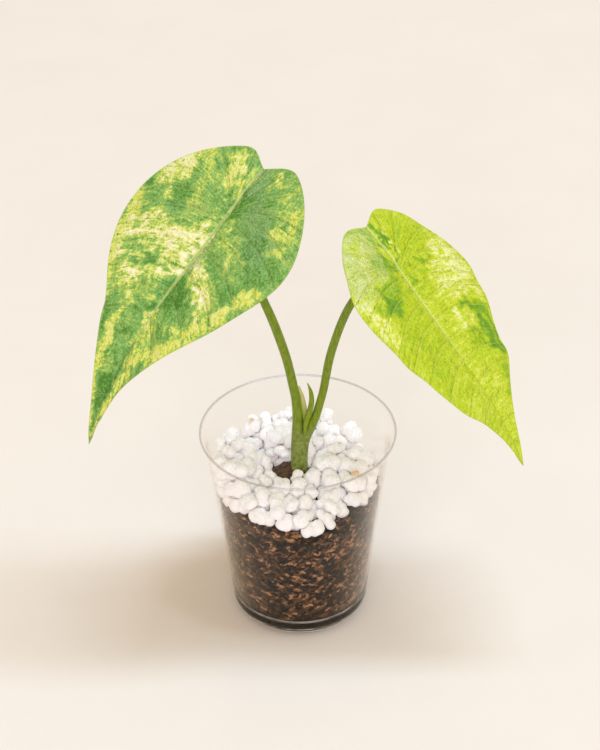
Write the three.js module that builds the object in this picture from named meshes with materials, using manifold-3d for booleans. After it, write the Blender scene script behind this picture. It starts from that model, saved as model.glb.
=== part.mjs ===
// Young potted alocasia with two marbled leaves, in a clear tapered cup.
// Millimetres, +Z up. The origin is the middle of the cup's flat base, on the surface it stands on.
// The front of the plant faces -Y, and both blades lean and droop that way.
import * as THREE from 'three';
import { mergeVertices } from 'three/addons/utils/BufferGeometryUtils.js';
import Module from 'manifold-3d';

const wasm = await Module();
wasm.setup();

// Clearance between pieces that touch
const GAP = 0.3;

// Cup. The base radius is that of the straight wall carried down to the surface it stands on.
const CUP_HEIGHT = 83.4;
const WALL_TOP_RADIUS = 37.13;
const WALL_BASE_RADIUS = 26.85;
const CUP_WALL = 1.0;
const FOOT_RADIUS = 24.2;
const FOOT_ROUNDING = 5.7;
const CUP_FLOOR = 4.5;
const FLOOR_CORNER = [[0, 0], [1.1, 0.9], [2.55, 3]];
const LIP_RADIUS = 38.8;
const LIP_WIDTH = 2.5;
const LIP_DEPTH = 1.7;
const CUP_SIDES = 44;

// Fill
const SOIL_TOP = 56.2;
const PERLITE_CORE_TOP = 62.4;
const PERLITE_CORE_INSET = 2.2;
const PERLITE_TOP_ROW = 63.6;
const PERLITE_WALL_ROWS = [58.6, 63.2];
const PERLITE_WALL_COUNT = 30;
const PERLITE_SPACING = 6.4;
const PERLITE_FIELD_RADIUS = 27;
const GRAIN_HALF_MIN = 2.8;
const GRAIN_HALF_MAX = 3.7;
const GRAIN_STRETCH = 0.4;

// Corm and roots
const CORM_CENTRE = new THREE.Vector2(-2.4, 1.8);
const CORM_TOP = 64.4;
const CORM_BOTTOM = 46;
const CORM_RADIUS = 8.4;
const ROOT_COUNT = 7;
const ROOT_LENGTH = 30;
const ROOT_SPREAD = 19;
const ROOT_RADIUS = 1.1;

// Petioles and new leaf: centre line x, y, z and radius, from the foot to the blade
const PETIOLE_FOOT = 60.4;
const PETIOLE_LEFT = [
  [-0.6, 0.4, PETIOLE_FOOT, 2.4],
  [-0.5, 0.3, 70, 2.4],
  [-0.2, 0.0, 80, 2.35],
  [0.1, -0.6, 89, 2.15],
  [-0.4, -1.4, 98, 1.9],
  [-1.5, -2.2, 105.5, 1.8],
  [-3.7, -3.6, 118.4, 1.75],
  [-6.5, -4.9, 129.8, 1.75],
  [-9.3, -6.1, 139.5, 1.7],
  [-12.2, -7.4, 148.4, 1.6],
  [-15.9, -9.2, 161, 1.5],
  [-19.3, -10.8, 175.2, 1.4],
];
const PETIOLE_RIGHT = [
  [1.4, -0.6, PETIOLE_FOOT, 2.3],
  [1.5, -0.6, 70, 2.25],
  [2.5, -0.5, 78, 2.1],
  [4.6, -0.6, 84, 2.0],
  [7.0, -0.9, 90.2, 1.75],
  [8.8, -1.5, 97.2, 1.6],
  [10.3, -2.2, 104.3, 1.6],
  [12.4, -4.2, 118.6, 1.65],
  [14.8, -6.2, 129.4, 1.6],
  [17.4, -8.1, 138.9, 1.6],
  [20.4, -10.1, 147.2, 1.55],
  [24.4, -11.7, 154.2, 1.5],
  [30.2, -12.3, 158.9, 1.4],
];
const NEW_LEAF = [
  [2.9, -2.4, 83.5, 0.6],
  [3.1, -2.5, 87.5, 1.0],
  [4.5, -2.2, 92.5, 1.1],
  [5.5, -1.9, 97.6, 1.05],
  [5.2, -1.7, 102.4, 0.75],
  [4.0, -1.6, 106.4, 0.15],
];
// Dry papery wing on the left petiole's sheath, as x and z of its outer edge
const WING_EDGE = [[0.9, 104.4], [2.3, 100.7], [3.3, 96.2], [3.7, 92.0], [3.0, 87.0]];
const WING_PLANE = -0.6;
const WING_THICKNESS = 0.7;

// Blades. s runs along the midrib from the petiole to the tip, w runs across it.
// Angles are in degrees and rates in degrees per millimetre. Each margin is a smooth
// curve through its points (s, w), from the notch between the lobes to the tip, which
// the sway moves across.
const BLADE_THICKNESS = 0.65;
const RIB_DEPTH = 0.85;
const SWAY_START = 50;
const BLADE_LEFT = {
  attach: new THREE.Vector3(-23.6, -14, 189),
  heading: -137,
  droop: 35.6,
  droopRate: -0.20,
  droopGrowth: 0.0056,
  lobeRate: 0.27,
  roll: -1.5,
  fold: 10,
  crossCurvature: 0.0061,
  length: 99,
  tipSway: 0,
  margins: {
    1: [[-21, 0], [-24, 15], [-8.5, 33], [13, 40], [33, 33], [51, 21], [72, 7], [88.5, 2], [99, 0]],
    '-1': [[-21, 0], [-25, -12], [-9.5, -32.5], [12.5, -40], [30, -34.5], [47, -22.5], [58, -16.5], [80, -6], [99, 0]],
  },
  waves: 4.5,
  waveHeight: 0.3,
};
const BLADE_RIGHT = {
  attach: new THREE.Vector3(38, -15, 165),
  heading: -40,
  droop: 44.3,
  droopRate: -0.22,
  droopGrowth: 0.0043,
  lobeRate: 0.62,
  roll: -7,
  fold: 7,
  crossCurvature: 0.0067,
  length: 88,
  tipSway: -2.5,
  margins: {
    1: [[-20, 0], [-23.5, 11.5], [-11.5, 23.5], [8, 34], [22, 33], [38.5, 24.5], [48.5, 21], [66, 8], [88, 0]],
    '-1': [[-20, 0], [-21, -13.5], [-8.5, -27.5], [7, -32.5], [27, -29], [41, -24.5], [56.5, -17], [68.5, -7.5], [88, 0]],
  },
  waves: 5.5,
  waveHeight: 0.3,
};
// The veins start together at the petiole as far as this share of the margin, then along the midrib
const FAN_SHARE = 0.36;
const VEIN_SPREAD = 1.12;
const VEIN_BOW = 0.1;
const VEIN_COUNT = 24;
const CROSS_STEPS = [0, 0.05, 0.2, 0.4, 0.6, 0.8, 1];

// Random draws come from one seeded sequence
const SEED = 20417;
let drawState = SEED;
function draw(low, high) {
  drawState = (Math.imul(drawState, 1664525) + 1013904223) >>> 0;
  return low + (high - low) * (drawState / 4294967296);
}

const rad = THREE.MathUtils.degToRad;
const lerp = THREE.MathUtils.lerp;

// Solids for cutting and joining
function solidOf(geometry) {
  const bare = geometry.clone();
  bare.deleteAttribute('normal');
  bare.deleteAttribute('uv');
  const merged = mergeVertices(bare, 1e-4);
  return new wasm.Manifold(new wasm.Mesh({
    numProp: 3,
    vertProperties: new Float32Array(merged.attributes.position.array),
    triVerts: new Uint32Array(merged.index.array),
  }));
}

function largestBody(solid) {
  const bodies = solid.decompose();
  return bodies.reduce((best, body) => (body.volume() > best.volume() ? body : best));
}

function geometryOf(solid) {
  const mesh = solid.getMesh();
  const geometry = new THREE.BufferGeometry();
  geometry.setAttribute('position', new THREE.BufferAttribute(mesh.vertProperties, 3));
  geometry.setIndex(new THREE.BufferAttribute(mesh.triVerts, 1));
  geometry.computeVertexNormals();
  return geometry;
}

// A closed surface from points and triangles, without the triangles that shrink to a line
function closedGeometry(points, triangles) {
  const rough = new THREE.BufferGeometry().setFromPoints(points);
  rough.setIndex(triangles.flat());
  const merged = mergeVertices(rough, 1e-4);
  const index = merged.index.array;
  const kept = [];
  for (let i = 0; i < index.length; i += 3) {
    const [a, b, c] = [index[i], index[i + 1], index[i + 2]];
    if (a !== b && b !== c && c !== a) kept.push(a, b, c);
  }
  merged.setIndex(kept);
  merged.computeVertexNormals();
  return merged;
}

function revolved(profile, sides) {
  return new THREE.LatheGeometry(profile.map(([r, z]) => new THREE.Vector2(r, z)), sides)
    .rotateX(Math.PI / 2);
}

// A round stem through knots [x, y, z, radius], closed by flat ends, grown by a margin all round
function stem(knots, sides, steps, grow = 0) {
  const path = new THREE.CatmullRomCurve3(knots.map(([x, y, z]) => new THREE.Vector3(x, y, z)), false, 'catmullrom');
  const girth = new THREE.CatmullRomCurve3(knots.map((knot) => new THREE.Vector3(knot[3], 0, 0)), false, 'catmullrom');
  const points = [];
  const triangles = [];
  for (let i = 0; i <= steps; i++) {
    const t = i / steps;
    const centre = path.getPoint(t);
    const tangent = path.getTangent(t);
    const radius = girth.getPoint(t).x + grow;
    const across = new THREE.Vector3(0, 1, 0).cross(tangent).normalize();
    const along = tangent.clone().cross(across);
    if (i === 0) centre.addScaledVector(tangent, -grow);
    if (i === steps) centre.addScaledVector(tangent, grow);
    for (let k = 0; k < sides; k++) {
      const angle = (2 * Math.PI * k) / sides;
      points.push(centre.clone()
        .addScaledVector(across, radius * Math.cos(angle))
        .addScaledVector(along, radius * Math.sin(angle)));
    }
  }
  for (let i = 0; i < steps; i++) {
    for (let k = 0; k < sides; k++) {
      const a = i * sides + k;
      const b = i * sides + ((k + 1) % sides);
      triangles.push([a, b, b + sides], [a, b + sides, a + sides]);
    }
  }
  const last = steps * sides;
  for (let k = 1; k < sides - 1; k++) {
    triangles.push([0, k + 1, k], [last, last + k, last + k + 1]);
  }
  return closedGeometry(points, triangles);
}

// Cup: straight tapered wall, bead round the lip, rounded foot, thick flat base
const wallSlope = (WALL_TOP_RADIUS - WALL_BASE_RADIUS) / CUP_HEIGHT;
const outerRadius = (z) => WALL_BASE_RADIUS + wallSlope * z;
const innerRadius = (z) => outerRadius(z) - CUP_WALL;

// The inside of the cup from its floor up to the straight wall, drawn in by a margin
function floorCorner(margin = 0) {
  return FLOOR_CORNER.map(([out, rise]) => [FOOT_RADIUS + out - margin, CUP_FLOOR + rise + margin]);
}

function cup() {
  const profile = [[0, 0]];
  const rounding = outerRadius(FOOT_ROUNDING) - FOOT_RADIUS;
  for (let step = 0; step <= 4; step++) {
    const angle = (Math.PI * step) / 8;
    profile.push([FOOT_RADIUS + rounding * Math.sin(angle), FOOT_ROUNDING * (1 - Math.cos(angle))]);
  }
  profile.push([outerRadius(CUP_HEIGHT - LIP_DEPTH), CUP_HEIGHT - LIP_DEPTH]);
  for (let step = 0; step <= 6; step++) {
    const angle = rad(-60 + 40 * step);
    profile.push([
      LIP_RADIUS - (LIP_WIDTH / 2) * (1 - Math.cos(angle)),
      CUP_HEIGHT - (LIP_DEPTH / 2) * (1 - Math.sin(angle)),
    ]);
  }
  profile.push([innerRadius(CUP_HEIGHT - 2 * LIP_DEPTH), CUP_HEIGHT - 2 * LIP_DEPTH]);
  profile.push(...floorCorner().reverse());
  profile.push([0, CUP_FLOOR]);
  return revolved(profile, CUP_SIDES);
}

// Perlite grains: one row after another against the wall, and a jittered field over the top
function grainList() {
  const grains = [];
  const grain = (x, y, z, half) => grains.push({
    centre: new THREE.Vector3(x, y, z),
    half: [half * (1 + draw(0, GRAIN_STRETCH)), half, half * draw(0.85, 1)],
    turn: new THREE.Euler(draw(-0.5, 0.5), draw(-0.5, 0.5), draw(0, Math.PI)),
  });
  for (const row of PERLITE_WALL_ROWS) {
    for (let k = 0; k < PERLITE_WALL_COUNT; k++) {
      const half = draw(GRAIN_HALF_MIN, GRAIN_HALF_MAX);
      const angle = (2 * Math.PI * (k + draw(-0.2, 0.2))) / PERLITE_WALL_COUNT;
      const z = row + draw(-1.1, 1.1);
      const reach = innerRadius(z - half) - GAP - half * (1 + GRAIN_STRETCH);
      grain(reach * Math.cos(angle), reach * Math.sin(angle), z, half);
    }
  }
  const rowStep = PERLITE_SPACING * Math.sqrt(0.75);
  const rows = Math.ceil(PERLITE_FIELD_RADIUS / rowStep);
  for (let i = -rows; i <= rows; i++) {
    for (let j = -rows; j <= rows; j++) {
      const x = (j + (i % 2) / 2) * PERLITE_SPACING + draw(-1, 1);
      const y = i * rowStep + draw(-1, 1);
      const half = draw(GRAIN_HALF_MIN, GRAIN_HALF_MAX);
      const z = PERLITE_TOP_ROW + draw(-1, 1);
      const fromCorm = Math.hypot(x - CORM_CENTRE.x, y - CORM_CENTRE.y);
      const inField = Math.hypot(x, y) < PERLITE_FIELD_RADIUS;
      if (inField && fromCorm > CORM_RADIUS) grain(x, y, z, half);
    }
  }
  return grains;
}

function grainSolid(grain, grow = 0) {
  const shape = new THREE.IcosahedronGeometry(1, 0);
  const place = new THREE.Matrix4().compose(
    grain.centre,
    new THREE.Quaternion().setFromEuler(grain.turn),
    new THREE.Vector3(...grain.half.map((half) => half + grow)),
  );
  return solidOf(shape.applyMatrix4(place));
}

// Corm with its roots, one piece
function cormSolid(grow = 0) {
  const profile = [];
  const middle = lerp(CORM_BOTTOM, CORM_TOP, 0.62);
  for (let step = 0; step <= 8; step++) {
    const angle = -Math.PI / 2 + (Math.PI * step) / 8;
    const half = (angle < 0 ? middle - CORM_BOTTOM : CORM_TOP - middle) + grow;
    const radius = step % 8 === 0 ? 0 : (CORM_RADIUS + grow) * Math.cos(angle) ** 0.7;
    profile.push([radius, middle + half * Math.sin(angle)]);
  }
  let corm = solidOf(revolved(profile, 16).translate(CORM_CENTRE.x, CORM_CENTRE.y, 0));
  for (let k = 0; k < ROOT_COUNT; k++) {
    const angle = (2 * Math.PI * k) / ROOT_COUNT + 0.4;
    const reach = ROOT_SPREAD * (k % 2 ? 0.75 : 1);
    const knot = (share, drop, radius) => [
      CORM_CENTRE.x + (reach * Math.cos(angle) - CORM_CENTRE.x) * share,
      CORM_CENTRE.y + (reach * Math.sin(angle) - CORM_CENTRE.y) * share,
      CORM_BOTTOM + 3 - ROOT_LENGTH * drop,
      radius,
    ];
    const knots = [
      knot(0.2, 0, ROOT_RADIUS),
      knot(0.65, 0.3, ROOT_RADIUS),
      knot(0.95, 0.65, ROOT_RADIUS * 0.8),
      knot(1, 1, ROOT_RADIUS * 0.5),
    ];
    corm = corm.add(solidOf(stem(knots, 6, 6, grow)));
  }
  return corm;
}

// Petioles
function underBlade(blade, drop) {
  return blade.attach.clone().addScaledVector(bladeFrame(blade, 0).up, -drop);
}

function petioleKnots(knots, blade) {
  const radius = knots.at(-1)[3];
  const seat = BLADE_THICKNESS + RIB_DEPTH + GAP;
  const approach = underBlade(blade, seat + 4).toArray();
  const end = underBlade(blade, seat).toArray();
  return [...knots, [...approach, radius], [...end, radius]];
}

function wingSolid() {
  const [top] = WING_EDGE;
  const bottom = WING_EDGE.at(-1);
  const shape = new THREE.Shape();
  shape.moveTo(-1, bottom[1]);
  shape.lineTo(...bottom);
  shape.splineThru(WING_EDGE.slice(0, -1).reverse().map(([x, z]) => new THREE.Vector2(x, z)));
  shape.lineTo(-1.5, top[1]);
  const geometry = new THREE.ExtrudeGeometry(shape, {
    depth: WING_THICKNESS,
    bevelEnabled: false,
    curveSegments: 6,
  });
  geometry.rotateX(Math.PI / 2).translate(0, WING_PLANE + WING_THICKNESS / 2, 0);
  return solidOf(geometry);
}

// Blades
function droopAt(blade, s) {
  const bend = s > 0 ? blade.droopRate * s + blade.droopGrowth * s * s : blade.lobeRate * s;
  return rad(blade.droop + bend);
}

// Point on the midrib's arch at s, and the directions across and out of the blade there
function bladeFrame(blade, s) {
  const heading = new THREE.Vector3(Math.cos(rad(blade.heading)), Math.sin(rad(blade.heading)), 0);
  const side = new THREE.Vector3(-heading.y, heading.x, 0);
  const point = blade.attach.clone();
  const steps = Math.max(1, Math.ceil(Math.abs(s)));
  for (let i = 0; i < steps; i++) {
    const droop = droopAt(blade, (s * (i + 0.5)) / steps);
    point.addScaledVector(heading, (Math.cos(droop) * s) / steps);
    point.z -= (Math.sin(droop) * s) / steps;
  }
  const droop = droopAt(blade, s);
  const lift = heading.clone().multiplyScalar(Math.sin(droop)).setZ(Math.cos(droop));
  const roll = rad(blade.roll);
  const across = side.clone().multiplyScalar(Math.cos(roll)).addScaledVector(lift, Math.sin(roll));
  const up = lift.clone().multiplyScalar(Math.cos(roll)).addScaledVector(side, -Math.sin(roll));
  return { point, across, up };
}

// The blade's upper face at (s, w): a shallow fold at the midrib that curves over to the margin,
// bent sideways towards the tip
function bladePoint(blade, s, w) {
  const { point, across, up } = bladeFrame(blade, s);
  const fold = rad(blade.fold);
  const slope = fold - blade.crossCurvature * Math.abs(w);
  const out = (Math.sin(fold) - Math.sin(slope)) / blade.crossCurvature;
  const rise = (Math.cos(slope) - Math.cos(fold)) / blade.crossCurvature;
  const sway = blade.tipSway * Math.max(0, (s - SWAY_START) / (blade.length - SWAY_START)) ** 2;
  return point.addScaledVector(across, Math.sign(w) * out + sway).addScaledVector(up, rise);
}

function bladeNormal(blade, s, w) {
  const step = 0.5;
  const alongS = bladePoint(blade, s + step, w).sub(bladePoint(blade, s - step, w));
  const alongW = bladePoint(blade, s, w + step).sub(bladePoint(blade, s, w - step));
  return alongS.cross(alongW).normalize();
}

// One vein line: share m of the way round the margin, share v of the way out to it
function veinPoint(blade, side, m, v) {
  const margin = new THREE.CatmullRomCurve3(
    blade.margins[side].map(([s, w]) => new THREE.Vector3(s, w, 0)), false, 'catmullrom').getPoint(m);
  const onMidrib = Math.max(0, (m - FAN_SHARE) / (1 - FAN_SHARE));
  const start = blade.length * onMidrib ** VEIN_SPREAD;
  const bow = VEIN_BOW * Math.abs(margin.y) * Math.min(1, m / FAN_SHARE);
  return [lerp(start, margin.x, v) - bow * Math.sin(Math.PI * v), margin.y * v];
}

function edgeWave(blade, side, m, v) {
  const fade = Math.min(1, 6 * m, 6 * (1 - m));
  const turns = 2 * Math.PI * blade.waves * m + side;
  return blade.waveHeight * fade * v ** 3 * (Math.sin(turns) + 0.5 * Math.sin(1.7 * turns));
}

function bladeGeometry(blade) {
  const points = [];
  const triangles = [];
  const columns = CROSS_STEPS.length;
  const half = (VEIN_COUNT + 1) * columns;
  for (const side of [1, -1]) {
    for (let i = 0; i <= VEIN_COUNT; i++) {
      for (const v of CROSS_STEPS) {
        const m = i / VEIN_COUNT;
        const [s, w] = veinPoint(blade, side, m, v);
        const normal = bladeNormal(blade, s, w);
        const top = bladePoint(blade, s, w).addScaledVector(normal, edgeWave(blade, side, m, v));
        const onRib = Math.max(0, 1 - v / CROSS_STEPS[1]) * (m >= FAN_SHARE ? 1 : 0);
        const atPetiole = m < FAN_SHARE && v === 0 ? 1 : 0;
        const rib = RIB_DEPTH * Math.max(onRib * Math.sqrt(Math.max(0, 1 - s / blade.length)), atPetiole);
        points.push(top, top.clone().addScaledVector(normal, -BLADE_THICKNESS - rib));
      }
    }
    const base = side > 0 ? 0 : half;
    const at = (i, j, face) => 2 * (base + i * columns + j) + face;
    const face = (a, b, c, flip) => triangles.push(flip ? [a, c, b] : [a, b, c]);
    for (let i = 0; i < VEIN_COUNT; i++) {
      for (let j = 0; j < columns - 1; j++) {
        for (const under of [0, 1]) {
          const flip = (side < 0) !== (under === 1);
          face(at(i, j, under), at(i + 1, j, under), at(i + 1, j + 1, under), flip);
          face(at(i, j, under), at(i + 1, j + 1, under), at(i, j + 1, under), flip);
        }
      }
      const edge = columns - 1;
      face(at(i, edge, 0), at(i + 1, edge, 0), at(i + 1, edge, 1), side < 0);
      face(at(i, edge, 0), at(i + 1, edge, 1), at(i, edge, 1), side < 0);
    }
  }
  return closedGeometry(points, triangles);
}

// Solids, each cut clear of its neighbour
const petioleLeftKnots = petioleKnots(PETIOLE_LEFT, BLADE_LEFT);
const petioleRightKnots = petioleKnots(PETIOLE_RIGHT, BLADE_RIGHT);
const petioleSteps = 26;
const petioleSides = 10;
const leftStem = (grow) => solidOf(stem(petioleLeftKnots, petioleSides, petioleSteps, grow));
const rightStem = (grow) => solidOf(stem(petioleRightKnots, petioleSides, petioleSteps, grow));

const petioleLeft = leftStem(0).add(wingSolid());
const petioleRight = largestBody(rightStem(0).subtract(leftStem(GAP)));
const newLeaf = largestBody(solidOf(stem(NEW_LEAF, 8, 12)).subtract(leftStem(GAP)).subtract(rightStem(GAP)));

const corm = largestBody(cormSolid().subtract(leftStem(GAP)).subtract(rightStem(GAP)));

const grains = grainList();
const coreProfile = [
  [0, SOIL_TOP + GAP],
  [innerRadius(SOIL_TOP) - PERLITE_CORE_INSET, SOIL_TOP + GAP],
  [innerRadius(PERLITE_CORE_TOP) - PERLITE_CORE_INSET, PERLITE_CORE_TOP],
  [0, PERLITE_CORE_TOP],
];
const perliteCore = solidOf(revolved(coreProfile, 24));
const perliteBlock = grains.reduce((block, grain) => block.add(grainSolid(grain)), perliteCore);
const cormRoom = cormSolid(GAP);
const perlite = largestBody(perliteBlock.subtract(cormRoom).subtract(leftStem(GAP)).subtract(rightStem(GAP)));

const soilProfile = [
  [0, CUP_FLOOR + GAP],
  ...floorCorner(GAP),
  [innerRadius(SOIL_TOP) - GAP, SOIL_TOP],
  [0, SOIL_TOP],
];
const dippingGrains = grains.filter((grain) => grain.centre.z - grain.half[0] < SOIL_TOP + GAP);
const soilBlock = solidOf(revolved(soilProfile, CUP_SIDES)).subtract(cormRoom);
const soil = largestBody(dippingGrains.reduce((block, grain) => block.subtract(grainSolid(grain, GAP)), soilBlock));

// Scene graph
function piece(name, geometry, color, roughness, transparency = {}) {
  const material = new THREE.MeshStandardMaterial({ color, roughness, metalness: 0, ...transparency });
  const mesh = new THREE.Mesh(geometry, material);
  mesh.name = name;
  return mesh;
}

const plant = new THREE.Group();
plant.add(piece('cup', cup(), 0xf2efe9, 0.08, { transparent: true, opacity: 0.25 }));
plant.add(piece('soil', geometryOf(soil), 0x3f2a1b, 0.95));
plant.add(piece('perlite', geometryOf(perlite), 0xf1efec, 0.9));
plant.add(piece('corm', geometryOf(corm), 0x5d412c, 0.9));
plant.add(piece('petiole_left', geometryOf(petioleLeft), 0x7d9c35, 0.45));
plant.add(piece('petiole_right', geometryOf(petioleRight), 0x7f9d3a, 0.45));
plant.add(piece('new_leaf', geometryOf(newLeaf), 0x86b32c, 0.4));
plant.add(piece('blade_left', bladeGeometry(BLADE_LEFT), 0x5f9a45, 0.45));
plant.add(piece('blade_right', bladeGeometry(BLADE_RIGHT), 0xa9cc2f, 0.45));

export default plant;
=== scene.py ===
# Looks of a young potted alocasia: two marbled leaves on slender petioles, rooted in bark mix
# under a layer of perlite, in a clear tapered cup. Shapes are worked out in millimetres, in the
# frame's own axes, and turned into metres when a mesh is made. The front faces -Y.
import math

import bmesh
import bpy
import numpy as np
from mathutils import Matrix, Vector


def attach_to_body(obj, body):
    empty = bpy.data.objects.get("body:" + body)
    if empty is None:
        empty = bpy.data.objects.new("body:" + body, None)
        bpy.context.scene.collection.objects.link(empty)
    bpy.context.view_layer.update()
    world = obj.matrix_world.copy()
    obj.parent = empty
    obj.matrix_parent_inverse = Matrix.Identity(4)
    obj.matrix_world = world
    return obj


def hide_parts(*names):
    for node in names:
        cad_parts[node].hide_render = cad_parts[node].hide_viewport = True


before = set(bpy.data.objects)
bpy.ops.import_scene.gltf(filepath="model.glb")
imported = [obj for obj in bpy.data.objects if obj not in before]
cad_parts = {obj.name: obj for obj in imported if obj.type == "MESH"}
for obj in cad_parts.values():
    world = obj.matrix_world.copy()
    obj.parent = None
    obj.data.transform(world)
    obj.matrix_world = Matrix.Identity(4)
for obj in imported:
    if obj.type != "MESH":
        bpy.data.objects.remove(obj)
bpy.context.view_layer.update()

MM = 0.001
SEED = 20417
# Lengths below this are taken as this long, so that nothing is divided by 0.
TINY = 0.01

# Cup. The base radius is that of the straight wall carried down to the surface it stands on.
CUP_HEIGHT = 83.4
WALL_TOP_RADIUS = 37.13
WALL_BASE_RADIUS = 26.85
WALL_START = 7.6
WALL_END = 79.6
CUP_WALL = 0.6
CUP_FLOOR = 6.3
FLOOR_CORNER = ((0, 0), (1.7, 0.04), (2.2, 0.22), (2.5, 0.6))
FOOT_RADIUS = 24.2
FOOT_ROUNDING = 5.7
FOOT_LIFT = 0.05
LIP_RADIUS = 38.8
LIP_WIDTH = 0.85
LIP_DEPTH = 1.0
LIP_FLARE = ((37.0, 80.6), (37.25, 81.6), (37.6, 82.3), (38.0, 82.7))
CUP_SIDES = 192
BEAD_SIDES = 16
# The flare's inside lies this far inwards and upwards from its outside.
FLARE_WALL = (0.3, 0.25)
# Pale rings at the foot, painted glints in place of the bright lines the clear foot shows: how far outside
# the foot's radius, height and thickness
FOOT_GLINT_RINGS = ((3.0, 3.3, 0.45), (2.55, 6.75, 0.22))

# Bark mix. Chips have spans of length, width and thickness, and a shade above COIR_SHADE is coir.
SOIL_LEVEL = 57.0
SOIL_DIP = 3.4
SOIL_RADIUS = 32
CHIPS_AT_WALL = 2600
CHIPS_ON_TOP = 240
CHIPS_ON_FLOOR = 420
BARK_SIZES = ((3.0, 7.0), (1.4, 3.0), (0.6, 1.4))
COIR_SIZES = ((1.8, 4.6), (0.7, 1.6), (0.3, 0.6))
COIR_SHADE = 0.62
HEART_SHADE = 0.1
BARK_DEPTHS = (0.2, 1.8)
COIR_DEPTHS = (0, 0.9)
WALL_GAP = 0.15
CHIP_RISE = 1.4
CORNER_RISE = 1.6
TOP_REACH = 31.0
FLOOR_REACH = 23.0

# Perlite. The grains fall and drift towards the back left while they push each other apart, and
# then settle. Ripples have a depth as a share of the radius, a size on a ball of radius 1, and waves.
GRAIN_COUNT = 136
GRAIN_RADII = (2.3, 4.0)
GRAIN_STRETCH = (0.5, 1.7)
GRAIN_RIPPLES = ((0.05, 0.4, 14), (0.018, 0.15, 20))
LOBE_TURN = 2.4
LOBE_REACH = (0.3, 0.42)
LOBE_SIZES = (0.56, 0.72)
HEAP_REACH = 30
HEAP_HEIGHTS = (2, 18)
GRAIN_SPACING = 0.96
GRAIN_PUSH = 0.25
GRAIN_DRIFT = (-0.026, 0.02)
GRAIN_FALL = -0.1
GRAIN_SETTLE = -0.02
GRAIN_GAP = 0.12
NEIGHBOURS = 15
FALLING_TURNS = 200
PACKING_TURNS = 260
GRAINS_LEFT_OUT = (1, 24, 42)
# Grains come this near to the stalks' room and the mix, as a share of their radius.
STALK_TOUCH = 0.85
SOIL_TOUCH = 0.75
# Room kept free round the stalks and the top of the corm: x, y and radius
STALK_ROOM = ((0.5, -1.0, 3.6), (-6.2, 2.4, 4.4), (-5.0, -2.6, 4.0))
# Tan specks on the heap: x, y and radius
TAN_SPECKS = ((22.3, -10.5, 1.4), (-18.5, 19.5, 0.8))

# Corm. Each root runs through points given by shares of its way out and of its drop, and a radius.
CORM_CENTRE = (-2.4, 1.4)
CORM_TOP = 64.4
CORM_BOTTOM = 46.0
CORM_RADIUS = 8.4
ROOT_COUNT = 7
ROOT_REACH = 19
ROOT_DROP = 30
ROOT_COURSE = ((0.2, 0, 1.1), (0.65, 0.3, 1.1), (0.95, 0.65, 0.9), (1, 1, 0.5))

# Stems: centre line x, y, z and radius, from the foot up
PETIOLE_LEFT = [
    (-0.6, 0.4, 60.4, 2.4), (-0.5, 0.3, 70, 2.4), (-0.2, 0.0, 80, 2.35), (0.1, -0.6, 89, 2.15),
    (-0.4, -1.4, 98, 1.9), (-1.5, -2.2, 105.5, 1.8), (-3.7, -3.6, 118.4, 1.75),
    (-6.5, -4.9, 129.8, 1.75), (-9.3, -6.1, 139.5, 1.7), (-12.2, -7.4, 148.4, 1.6),
    (-15.9, -9.2, 161, 1.5), (-19.3, -10.8, 175.2, 1.4),
]
PETIOLE_RIGHT = [
    (1.4, -0.6, 60.4, 2.3), (1.5, -0.6, 70, 2.25), (2.5, -0.5, 78, 2.1), (4.6, -0.6, 84, 2.0),
    (7.0, -0.9, 90.2, 1.75), (8.8, -1.5, 97.2, 1.6), (10.3, -2.2, 104.3, 1.6),
    (12.4, -4.2, 118.6, 1.65), (14.8, -6.2, 129.4, 1.6), (17.4, -8.1, 138.9, 1.6),
    (20.4, -10.1, 147.2, 1.55), (24.4, -11.7, 154.2, 1.5), (30.2, -12.3, 158.9, 1.4),
]
NEW_LEAF = [
    (2.9, -2.4, 83.5, 0.6), (3.1, -2.5, 87.5, 1.0), (4.5, -2.2, 92.5, 1.1),
    (5.5, -1.9, 97.6, 1.05), (5.2, -1.7, 102.4, 0.75), (4.0, -1.6, 106.4, 0.12),
]
SHEATH = [
    (0.35, -0.15, 60.4, 3.35), (0.35, -0.15, 66, 3.3), (0.4, -0.15, 72, 3.25),
    (0.6, -0.15, 77, 3.2), (0.9, -0.2, 80, 2.9), (0.7, -0.2, 83, 1.6),
]
GROOVE_FACING = 1.5 * math.pi
# The outer edge of the sheath's dry wing as x and z, in a plane y
WING_EDGE = [(0.9, 104.4), (2.3, 100.7), (3.3, 96.2), (3.7, 92.0), (3.0, 87.0)]
WING_PLANE = -0.6
WING_BOW = 0.35
WING_THICKNESS = 0.56

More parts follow.
